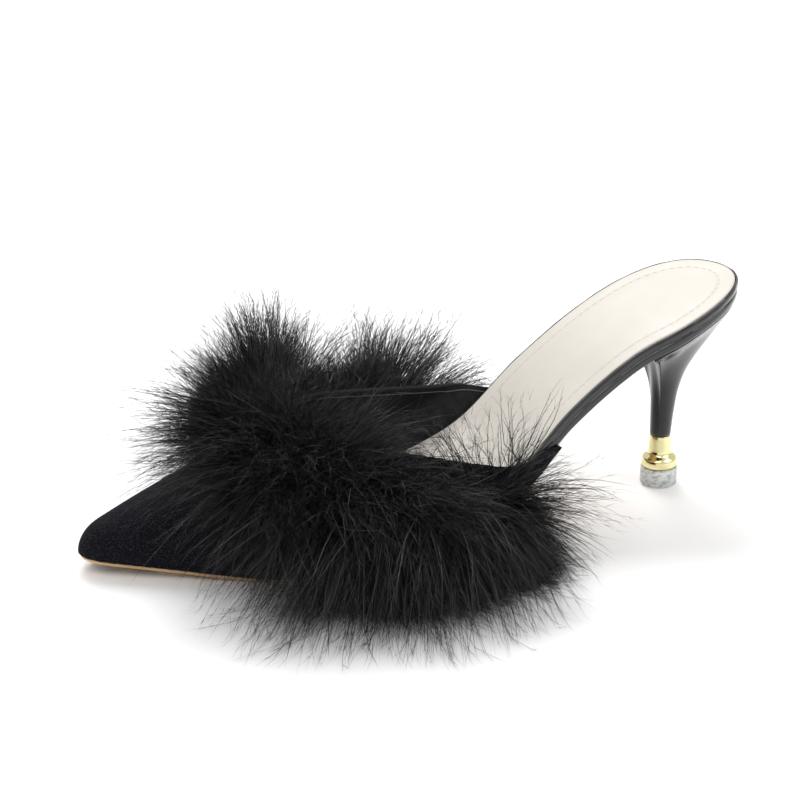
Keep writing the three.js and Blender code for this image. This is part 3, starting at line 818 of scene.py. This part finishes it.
def stitches():
    """Short sunk stitches along the groove of the insole."""
    around = np.linspace(0.001, 1.999, 6000)
    along = along_around(around)
    flat = offset_outline(around, -board_inset(along) - INSOLE_INSET - STITCH_INSET)
    line = over_bed(flat, -STITCH_SINK)[along < STITCH_END]
    gap = np.argmax(np.linalg.norm(np.diff(line, axis=0), axis=1))
    line = np.roll(line, -(gap + 1), axis=0)
    length = length_along(line)
    pitch, reach, thickness, bow, sides, steps = 3.0, 2.1, 0.17, 0.08, 6, 5
    angle = 2 * np.pi * np.arange(sides) / sides
    share = np.linspace(-1, 1, steps)
    radius = thickness * np.sqrt(np.maximum(1 - share ** 4, 0.05))
    points, quads = [], []
    for start in np.arange(0.5, length[-1] - reach, pitch):
        where = start + reach * np.linspace(0, 1, steps)
        spine = np.column_stack([np.interp(where, length, line[:, axis]) for axis in range(3)])
        spine[:, 2] += bow * (1 - share ** 2) - bow
        way = unit(np.gradient(spine, axis=0))
        side = unit(np.cross(way, [0, 0, 1]))
        top = np.cross(side, way)
        quads.append(ring_quads(steps, sides, start=len(points) * sides))
        for step in range(steps):
            rim = np.outer(np.cos(angle), side[step]) + np.outer(np.sin(angle), top[step])
            points.append(spine[step] + radius[step] * rim)
    build("insole_stitches", np.concatenate(points), quads, THREAD, "insole_leather")


def board():
    """The patent wrap: rolled over the board's edge, drawn in below the roll, a little uneven."""
    around = places_around(0, 260)[:-1]
    along = along_around(around)
    shank = shank_share(along)
    length = length_along(outline_point(around))
    lap = 2 * np.pi * length / (length[-1] + length[1])
    wander = 0.06 * np.sin(29 * lap) + 0.05 * np.sin(68 * lap + 1) + 0.04 * np.sin(13 * lap)

    def offset_at(depth, inset):
        ripple = wander * (0.3 < depth < 0.45 or depth < 0.05)
        return -board_inset(along) - inset * lerp(0.35, 1.0, shank) + ripple * shank

    layer_piece("board_wrap", around, BAND_ROWS, offset_at, "board",
                PATENT, "patent_wrap", "insole_board")


def outsole():
    """The thin sole, drawn in under the arch, with a bevelled edge."""
    around = places_around((SEAT_REACH + CLEARANCE) / FOOTBED_LENGTH, 200)
    along = along_around(around)
    inset = lerp(FEATHER_LINE, OUTSOLE_INSET_SHANK, shank_share(along))
    inset = inset + ARCH_INSET * (1 - smoothstep(along, ARCH_INSET_START, ARCH_INSET_END))
    layer_piece("outsole_leather", around, SOLE_EDGE_ROWS, lambda depth, draw: -inset - draw,
                "outsole", SOLE, "sole_leather", "outsole")


def heel():
    """The wrapped heel: its seat follows the board, and its front is hollow between two ridges."""
    reach = turn_of(SEAT_REACH / FOOTBED_LENGTH)
    steps, front_steps = 48, 40
    around = (2 - reach * np.arange(-steps, steps + 1) / steps) % 2
    flat = offset_outline(around, INSOLE_INSET - SEAT_INSET)
    share = np.arange(1, front_steps) / front_steps
    front = lerp(flat[-1], flat[0], share[:, None])
    front[:, 0] += BREAST_HOLLOW * np.sin(np.pi * share)
    flat = np.concatenate([flat, front])
    seat = np.column_stack([flat, layers(along_at(flat[:, 0]))["outsole_top"]])
    angle = np.arctan2(seat[:, 1], seat[:, 0] + HEEL_SETBACK)
    backness = (1 + np.cos(angle)) / 2
    neck_height = TIP_HEIGHT + COLLAR_HEIGHT + 2 * CLEARANCE
    heights = np.concatenate([np.linspace(0, 0.9, 56), np.linspace(0.91, 1, 12)])
    rings = []
    for height in heights:
        row = read_heel(height)
        spread = lerp(row["front"], row["back"], backness)
        rings.append(np.column_stack([
            lerp(NECK_RADIUS * np.cos(angle) - HEEL_SETBACK, seat[:, 0], spread),
            lerp(NECK_RADIUS * np.sin(angle), seat[:, 1], spread),
            lerp(neck_height, seat[:, 2], height),
        ]))
    rings = np.array(rings)
    outward = unit(rings * [1, 1, 0] - [-HEEL_SETBACK, 0, 0])
    ridges = sum(bell(angle - turn, RIDGE_WIDTH) for turn in (-RIDGE_TURN, RIDGE_TURN))
    rise = RIDGE_RISE * smoothstep(heights, 0.55, 0.9)[:, None] * ridges
    for turn, height, width, tall, depth in FOLD_ROWS:
        rise -= depth * bell(angle - turn, width) * bell(heights - height, tall)[:, None]
    rise -= SEAT_ROLL * bell(heights - 1, 0.012)[:, None]
    build("heel_wrap", *lidded(rings + outward * rise[..., None]), HEEL_WRAP, "heel_wrap", "heel")


def turned(name, profile, material, slot, node):
    """A turned piece about the middle of the heel tip, from rows of radius and height."""
    angle = np.linspace(0, 2 * np.pi, 96, endpoint=False)
    rings = np.array([
        np.column_stack([
            radius * np.cos(angle) - HEEL_SETBACK, radius * np.sin(angle), 0 * angle + height,
        ])
        for radius, height in profile
    ])
    build(name, *lidded(rings), material, slot, node)


def heel_collar():
    """The collar: each row has a width, from the neck's at 0 to the foot's at 1, and a height."""
    floor = TIP_HEIGHT + CLEARANCE
    rows = [
        (0.90, 0.00), (0.96, 0.015), (1.00, 0.05), (1.00, 0.10), (0.995, 0.16), (0.97, 0.21),
        (0.90, 0.255), (0.78, 0.29), (0.63, 0.32), (0.48, 0.345), (0.34, 0.37), (0.22, 0.40),
        (0.15, 0.44), (0.11, 0.50), (0.08, 0.60), (0.055, 0.72), (0.035, 0.84), (0.02, 0.95),
        (0.00, 0.985), (-0.05, 1.00),
    ]
    turned("heel_collar_gold", [
        (lerp(NECK_RADIUS, COLLAR_RADIUS, width), floor + height * COLLAR_HEIGHT)
        for width, height in rows
    ], GOLD, "gold", "heel_collar")


def heel_tip():
    """The tip: a plain round block with both edges rounded."""
    bends = np.linspace(0, 1, 7) * np.pi / 2
    inner, upper_edge = TIP_RADIUS - TIP_EDGE, TIP_HEIGHT - TIP_EDGE
    side = lerp(TIP_EDGE, upper_edge, np.linspace(0.1, 0.9, 9))
    turned("heel_tip_clear", [
        *((inner + TIP_EDGE * np.sin(bend), TIP_EDGE - TIP_EDGE * np.cos(bend)) for bend in bends),
        *((TIP_RADIUS, height) for height in side),
        *((inner + TIP_EDGE * np.cos(bend), upper_edge + TIP_EDGE * np.sin(bend)) for bend in bends),
    ], CLEAR, "clear_plastic", "heel_tip")


def border(test, low, high):
    """Halves the way from low, where the test holds, to high, where it doesn't."""
    for _ in range(40):
        middle = (low + high) / 2
        holds = test(middle)
        low = np.where(holds, middle, low)
        high = np.where(holds, high, middle)
    return high


def above_cut(along, over):
    """Whether the last lies above the topline's cut there."""
    point = last_point(along, over)
    return point[:, 2] > cut_height(along, point[:, 1])


def upper_surface():
    """The upper's outer surface, in lines from the topline, row 0, to the lower edge, the last.

    It gives the places along and over the last, the points and the normals.
    """
    sides = np.array([0.0, 1.0])
    low, high = np.full(2, WING_END), np.full(2, 0.5)
    wing_turns = turn_of(border(lambda along: above_cut(along, sides), low, high))
    side = int(UPPER_LINES * SIDE_SHARE)
    front = UPPER_LINES - 2 * side
    bottom_turn = np.concatenate([
        np.linspace(wing_turns[0], 1, side, endpoint=False),
        np.ones(front),
        np.linspace(1, wing_turns[1], side),
    ])
    bottom_over = np.concatenate([np.zeros(side), np.linspace(0, 1, front), np.ones(side)])

    def spot(ray):
        """The place on a line, from 0 in the middle of the throat to 1 at the lower edge."""
        turn = lerp(turn_of(THROAT_MIDDLE), bottom_turn, ray)
        return along_of(turn), lerp(0.5, bottom_over, ray)

    middle, edge = np.zeros(UPPER_LINES), np.ones(UPPER_LINES)
    top = border(lambda ray: above_cut(*spot(ray)), middle, edge)
    share = np.linspace(0, 1, UPPER_ROWS) ** ROW_CROWDING
    along, over = spot(lerp(top, edge, share[:, None]))
    return along, over, last_point(along, over), last_normal(along, over)


def upper_relief(points, along, over):
    """Soft flex creases across the vamp and small puckers where it is drawn under."""
    relief = np.zeros(along.shape)
    for start_along, start_over, end_along, end_over, width, depth in CREASE_ROWS:
        share = np.clip((over - start_over) / (end_over - start_over), 0, 1)
        centre = lerp(start_along, end_along, share) + 0.006 * np.sin(np.pi * share)
        away = (along - centre) * FOOTBED_LENGTH
        beyond = np.abs(over - (start_over + end_over) / 2) - abs(end_over - start_over) * 0.35
        ridges = 0.45 * bell(np.abs(away) - 1.9 * width, width)
        relief += depth * bell(np.maximum(0, beyond), 0.06) * (-bell(away, width) + ridges)
    edge = np.minimum(over, 1 - over)
    low = bell(edge, 0.035) * smoothstep(along, 0.80, 0.92)
    relief += 0.12 * low * np.sin(along_at(points[..., 0]) * 420)
    return relief


def upper():
    """The vamp: one folded shell, suede outside and lining inside, with a turned edge."""
    along, over, surface, normal = upper_surface()
    relief = upper_relief(surface, along, over)[..., None]
    outer = surface + normal * relief
    inner = surface - normal * (WALL - 0.5 * relief)
    up = unit(outer[0] - outer[2])
    centre = (outer[0] + inner[0]) / 2
    half = np.linalg.norm(outer[0] - inner[0], axis=1, keepdims=True) / 2
    across = unit(outer[0] - inner[0])
    line = np.arange(UPPER_LINES)
    fray = 0.10 * np.sin(line * 2.3) + 0.08 * np.sin(line * 5.1 + 1)
    edge = []
    for turn in (0.2, 0.4, 0.6, 0.8):
        bend = turn * np.pi
        edge.append(centre + half * (across * np.cos(bend) + up * np.sin(bend) * 0.7)
                    + up * fray[:, None] * math.sin(bend))
    level = layers(along[-1])
    inward = unit((inner[-1] - outer[-1]) * [1, 1, 0])
    flat = (inner[-1] + inward * LASTING_MARGIN)[:, :2]
    margin = [
        np.column_stack([flat, lerp(level["outsole_top"], level["board_bottom"], share)])
        for share in MARGIN_SHARES
    ]
    outside = np.concatenate([outer[::-1], edge[:2]])
    inside = np.concatenate([edge[1:], inner, [*margin, outer[-1]]])
    for name, sheet, material in (
        ("upper_suede", outside, SUEDE), ("upper_lining", inside, LINING),
    ):
        build(name, sheet.reshape(-1, 3), [ring_quads(len(sheet), UPPER_LINES, closed=False)],
              material, "suede", "upper")


def topline_seam():
    """A thin piped seam on the lining, just under the turned edge."""
    _, _, surface, normal = upper_surface()
    inner = surface - normal * WALL
    depth = np.cumsum(np.linalg.norm(np.diff(inner, axis=0), axis=2), axis=0)
    depth = np.concatenate([np.zeros((1, UPPER_LINES)), depth])
    spine, way_in = np.zeros((2, UPPER_LINES, 3))
    for line in range(UPPER_LINES):
        drop = min(SEAM_DROP, depth[-1, line] * 0.4)
        for axis in range(3):
            spine[line, axis] = np.interp(drop, depth[:, line], inner[:, line, axis])
            way_in[line, axis] = -np.interp(drop, depth[:, line], normal[:, line, axis])
    side = unit(np.cross(unit(np.gradient(spine, axis=0)), way_in))
    sides = 8
    angle = 2 * np.pi * np.arange(sides)[:, None] / sides
    rings = [
        spine[line] + SEAM_HALF_WIDTH * np.cos(angle) * side[line]
        + (SEAM_LIFT + SEAM_HALF_DEPTH * np.sin(angle)) * way_in[line]
        for line in range(2, UPPER_LINES - 2)
    ]
    build("topline_seam", np.concatenate(rings), [ring_quads(len(rings), sides)], SEAM, "suede")


def clear_of_shoe(points):
    """Moves points that lie inside the shoe out through its surface, and up off the floor."""
    points = points.copy()
    x, y, z = points.T
    for _ in range(2):
        along = -x / FOOTBED_LENGTH
        within = (along > WING_END + 0.03) & (along < TOE_END)
        spot = np.clip(along, WING_END, TOE_END)
        row = read_last(spot)
        base = layers(spot)["outsole_top"] + CLEARANCE
        crown = row["crown"] * BALL_WIDTH
        edge, bulge = last_side(spot, y < crown)
        ridge = np.maximum(row["ridge"], 0.02) * INSTEP_HEIGHT
        high = np.maximum(z - base, 0) / ridge
        half = edge + bulge * swell_at(np.minimum(high, 1)) - crown
        side = np.abs((y - crown) / half) ** (1 / FULLNESS)
        reach = np.hypot(side, high)
        margin = 1 + SUEDE_GAP / np.maximum(ridge, 8)
        below_cut = z < cut_height(spot, y) + CUT_ROOM
        inside = within & (reach < margin) & below_cut & (z > base - 1)
        scale = margin / np.maximum(reach, 0.05)
        y[:] = np.where(inside, crown + half * (side * scale) ** FULLNESS, y)
        z[:] = np.where(inside, base + ridge * high * scale, z)
    along = along_at(x)
    outline = read_last(along)
    bed = footbed_height(along) + BED_GAP
    over = (y > -outline["outer"] * BALL_WIDTH - 1) & (y < outline["inner"] * BALL_WIDTH + 1)
    sunk = over & (x > -THROAT_END * FOOTBED_LENGTH) & (z < bed)
    sunk &= z > layers(along)["board_bottom"]
    z[:] = np.maximum(np.where(sunk, bed, z), FLOOR_GAP)
    return points


def trim_seat(place):
    """Where the trim is sewn on, and the ways outward, along it and up from there."""
    row = read_trim(place)
    out = last_normal(row["along"], row["over"])
    seat = last_point(row["along"], row["over"])
    ahead = read_trim(np.minimum(1, place + 0.01))
    behind = read_trim(np.maximum(0, place - 0.01))
    forward = unit(last_point(ahead["along"], ahead["over"])
                   - last_point(behind["along"], behind["over"]))
    return seat, out, forward, unit(np.cross(forward, out))


def strands(rng, place, fan, across, lean, length, curl, swirl, spread, droop, steps):
    """Paths of barbs, one per place: (count, steps, 3) points in millimetres."""
    seat, out, forward, up = trim_seat(place)
    count = len(place)
    heading = unit(
        out * np.cos(fan)[:, None] + up * np.sin(fan)[:, None] + forward * lean[:, None]
        + rng.normal(0, 1, (count, 3)) * spread[:, None]
    )
    height = 1.0 + rng.uniform(0, 5, count)
    root = seat + up * across[:, None] + out * height[:, None]
    turned_to = unit(swirl + 0.45 * rng.normal(0, 1, (count, 3)))
    bend = np.cross(heading, turned_to) * curl[:, None]
    wave = np.cross(heading, unit(rng.normal(0, 1, (count, 3)))) * WAVE
    phase = rng.uniform(0, 6.28, count)
    share = np.linspace(0, 1, steps)[None, :, None]
    travel = share * length[:, None, None]
    path = root[:, None] + heading[:, None] * travel * (1 - SHORTENING * share)
    path += bend[:, None] * travel * share
    path += wave[:, None] * travel * np.sin(5 * share + phase[:, None, None])
    path[..., 2] -= droop[:, None] * travel[..., 0] * share[..., 0]
    return clear_of_shoe(path.reshape(-1, 3)).reshape(count, steps, 3)


def ribbons(paths, width, rng, tip=0.15):
    """Flat tapering ribbons along the paths, each ending in a point."""
    count, steps, _ = paths.shape
    way = unit(np.gradient(paths, axis=1))
    across = unit(np.cross(way, unit(rng.normal(0, 1, (count, 1, 3)))))
    share = np.linspace(0, 1, steps)[None, :, None]
    half = width[:, None, None] / 2 * (1 - (1 - tip) * share ** 1.3)
    left = (paths - across * half)[:, :-1]
    right = (paths + across * half)[:, :-1]
    points = np.concatenate([left, right, paths[:, -1:]], axis=1)
    pairs = steps - 1
    base = (np.arange(count) * (2 * pairs + 1))[:, None]
    quads = [np.zeros((0, 4), int)]
    for low in range(pairs - 1):
        quads.append(base + [low, pairs + low, pairs + low + 1, low + 1])
    return points.reshape(-1, 3), np.concatenate(quads), base + [pairs - 1, 2 * pairs - 1, 2 * pairs]


def feather_piece(name, parts, material=FEATHER):
    """One mesh from parts of barbs and down."""
    points, quads, tips = zip(*parts)
    starts = np.cumsum([0] + [len(part) for part in points[:-1]])
    build(name, np.concatenate(points), [
        np.concatenate([part + start for part, start in zip(faces, starts)])
        for faces in (quads, tips)
    ], material, "feather", "feather_trim")


def tufts(rng, plumes, tufts_each, barbs_each, places, fans, lengths, curl, spread, push=0.0):
    """Barbs in tufts and tufts in plumes: each shares its root and main direction with the rest."""
    place = rng.uniform(*places, plumes)
    fan = rng.uniform(*fans, plumes)
    lean = rng.normal(push, 0.30, plumes)
    length = rng.uniform(*lengths, plumes)
    swirl = rng.normal(0, 1, (plumes, 3))
    for share, shift, turn, tilt, cut in (
        (tufts_each, 0.012, 0.16, 0.18, 0.24), (barbs_each, 0.005, 0.07, 0.07, 0.16),
    ):
        each = np.repeat(np.arange(len(place)), share)
        total = len(each)
        place = place[each] + rng.normal(0, shift, total)
        fan = fan[each] + rng.normal(0, turn, total)
        lean = lean[each] + rng.normal(0, tilt, total)
        length = length[each] * (1 - np.abs(rng.normal(0, cut, total)))
        swirl = unit(swirl[each] + 0.3 * rng.normal(0, 1, (total, 3)))
    place = np.clip(place, 0, 1)
    row = read_trim(place)
    tail = np.clip(1 - place / 0.15, 0, 1)
    return {
        "place": place,
        "fan": fan + row["lift"] * np.pi / 4,
        "across": rng.normal(0, 1, total) * row["thick"] * 4.0,
        "lean": lean + 0.55 * (2 * place - 1) - 0.45 * tail,
        "length": np.maximum(length * row["reach"], 8),
        "curl": np.abs(rng.normal(curl, curl * 0.5, total)),
        "swirl": swirl,
        "spread": np.full(total, spread),
        "droop": row["droop"] * rng.uniform(0.5, 1.3, total),
    }


def barbs_with_down(rng, settings, steps, width, down_each):
    """Barbs as ribbons, and the finer down that grows sideways from each."""
    paths = strands(rng, steps=steps, **settings)
    barbs = ribbons(paths, width * rng.uniform(0.6, 1.2, len(paths)), rng)
    each = np.repeat(np.arange(len(paths)), down_each)
    place = rng.uniform(0.15, 0.9, len(each)) * (steps - 1)
    low = np.minimum(place.astype(int), steps - 2)
    root = lerp(paths[each, low], paths[each, low + 1], (place - low)[:, None])
    way = unit(paths[each, low + 1] - paths[each, low])
    side = np.cross(way, unit(rng.normal(0, 1, (len(each), 3))))
    reach = rng.uniform(2.0, 6.0, len(each))[:, None]
    end = root + (way * 0.87 + side * rng.uniform(0.3, 0.6, (len(each), 1))) * reach
    ends = clear_of_shoe(np.concatenate([root, end])).reshape(2, -1, 3)
    down = ribbons(np.swapaxes(ends, 0, 1), np.full(len(each), width * 0.42), rng)
    return [barbs, down]


def placed_plumes(rng):
    """Barbs of the listed plumes, each plume as a brush that spreads to its tip."""
    rows = np.array(PLUME_ROWS, float)
    plume = np.repeat(np.arange(len(rows)), rows[:, PLUME_COLUMNS.index("barbs")].astype(int))
    column = {name: rows[plume, at] for at, name in enumerate(PLUME_COLUMNS)}
    total = len(plume)
    stray = np.where(rng.uniform(0, 1, total) < 0.25, 2.0, 1.0) * column["spread"]
    place = np.clip(column["place"] + rng.normal(0, 0.008, total), 0, 1)
    row = read_trim(place)
    return {
        "place": place,
        "fan": column["fan"] + rng.normal(0, 1, total) * stray,
        "across": rng.normal(0, 1, total) * row["thick"] * 2.5,
        "lean": column["lean"] + rng.normal(0, 1, total) * stray,
        "length": column["length"] * (1.05 - 0.65 * rng.uniform(0, 1, total) ** 2.2),
        "curl": np.abs(rng.normal(0.14, 0.10, total)),
        "swirl": unit(rng.normal(0, 1, (len(rows), 3)))[plume],
        "spread": np.full(total, 0.03),
        "droop": row["droop"] * rng.uniform(0.6, 1.2, total),
    }


def feathers():
    """Plumes in four zones, listed plumes, wisps and a few bare quills."""
    rng = np.random.default_rng(7)
    zones = [
        ("feather_near_low", 40, (0.03, 0.34), (-1.30, 0.25), (30, 66)),
        ("feather_near_front", 40, (0.28, 0.50), (-1.25, 0.45), (30, 66)),
        ("feather_front", 40, (0.44, 0.68), (-1.20, 0.70), (28, 62)),
        ("feather_far", 24, (0.62, 0.97), (-1.10, 0.45), (24, 50)),
    ]
    for name, plumes, places, fans, lengths in zones:
        settings = tufts(rng, plumes, 9, 25, places, fans, lengths, curl=0.30, spread=0.06)
        feather_piece(name, barbs_with_down(rng, settings, steps=7, width=0.28, down_each=6))
    settings = placed_plumes(rng)
    feather_piece(
        "feather_plumes", barbs_with_down(rng, settings, steps=9, width=0.32, down_each=6),
    )
    wisps = []
    for plumes, barbs_each, places, fans, lengths, push in (
        (24, 30, (0.36, 0.60), (0.55, 1.20), (26, 46), 0.0),
        (14, 14, (0.62, 0.92), (0.60, 1.20), (20, 40), 0.2),
        (20, 26, (0.04, 0.36), (0.35, 0.85), (22, 38), -0.6),
    ):
        settings = tufts(rng, plumes, 4, barbs_each, places, fans, lengths, 0.26, 0.07, push)
        wisps += barbs_with_down(rng, settings, steps=8, width=0.24, down_each=3)
    settings = tufts(rng, 40, 5, 16, (0.06, 0.56), (-0.7, 0.7), (20, 34), curl=0.85, spread=0.12)
    wisps += barbs_with_down(rng, settings, steps=8, width=0.26, down_each=3)
    feather_piece("feather_wisps", wisps)
    settings = tufts(rng, 16, 2, 3, (0.10, 0.50), (-0.4, 0.6), (20, 32), curl=0.9, spread=0.05)
    quills = barbs_with_down(rng, settings, steps=9, width=0.6, down_each=8)
    feather_piece("feather_quills", quills, QUILL)


def down_core():
    """The dense down at the root of the trim."""
    steps, sides = 160, 40
    place = np.linspace(0, 1, steps)
    row = read_trim(place)
    seat, out, _, up = trim_seat(place)
    angle = 2 * np.pi * np.arange(sides) / sides
    rng = np.random.default_rng(3)
    ripple = 1 + 0.10 * rng.normal(0, 1, (steps, sides))
    deep = (0.42 * row["deep"] * DOWN_SIZE)[:, None] * ripple
    thick = (0.55 * row["thick"] * DOWN_SIZE)[:, None] * ripple
    middle = seat + out * (0.30 * row["deep"] * DOWN_SIZE)[:, None]
    points = (middle[:, None] + out[:, None] * (deep * np.cos(angle))[..., None]
              + up[:, None] * (thick * np.sin(angle))[..., None])
    points = clear_of_shoe(points.reshape(-1, 3))
    build("feather_down", points, [ring_quads(steps, sides)], DOWN, "feather", "feather_trim")


def stage():
    """A pale floor under a white sky, and three soft lamps."""
    mesh = bpy.data.meshes.new("floor")
    reach = 6.0
    mesh.from_pydata(
        [(-reach, -reach, 0), (reach, -reach, 0), (reach, reach, 0), (-reach, reach, 0)],
        [], [(0, 1, 2, 3)],
    )
    floor = bpy.data.objects.new("floor", mesh)
    bpy.context.scene.collection.objects.link(floor)
    material = bpy.data.materials.new("floor")
    material.use_nodes = True
    set_inputs(material.node_tree.nodes["Principled BSDF"], [
        ("Base Color", (0.92, 0.92, 0.92, 1)), ("Roughness", 0.75), ("Specular IOR Level", 0.2),
    ])
    mesh.materials.append(material)

    world = bpy.data.worlds.new("studio")
    world.use_nodes = True
    set_inputs(world.node_tree.nodes["Background"], [("Color", (1, 1, 1, 1)), ("Strength", 0.76)])
    bpy.context.scene.world = world
    bpy.context.scene.view_settings.view_transform = "Standard"
    area_light("key", (-0.45, -0.60, 1.20), 0.9, 5.0)
    area_light("fill", (0.75, -0.55, 0.75), 0.8, 3.0)
    area_light("rim", (0.05, 0.80, 1.05), 0.7, 11.0)


def area_light(name, place, size, power):
    light = bpy.data.lights.new(name, "AREA")
    light.size = size
    light.energy = power
    lamp = bpy.data.objects.new(name, light)
    lamp.location = place
    aim = Vector((0, 0, 0.03)) - Vector(place)
    lamp.rotation_euler = aim.to_track_quat("-Z", "Y").to_euler()
    bpy.context.scene.collection.objects.link(lamp)


def camera():
    """The camera at the photograph's viewing angle."""
    azimuth, elevation = math.radians(CAMERA_AZIMUTH), math.radians(CAMERA_ELEVATION)
    target = Vector(np.array(CAMERA_TARGET) + SHIFT) * 0.001
    back = Vector((
        math.sin(azimuth) * math.cos(elevation),
        -math.cos(azimuth) * math.cos(elevation),
        math.sin(elevation),
    ))
    data = bpy.data.cameras.new("camera")
    data.sensor_width = SENSOR_WIDTH
    data.lens = FOCAL_PIXELS / PICTURE_PIXELS * SENSOR_WIDTH
    data.clip_start = 0.01
    data.clip_end = 50
    eye = bpy.data.objects.new("camera", data)
    eye.location = target + back * CAMERA_DISTANCE
    eye.rotation_euler = (-back).to_track_quat("-Z", "Y").to_euler()
    bpy.context.scene.collection.objects.link(eye)
    bpy.context.scene.camera = eye


camera()
stage()
insole()
stitches()
board()
outsole()
heel()
heel_collar()
heel_tip()
upper()
topline_seam()
down_core()
feathers()
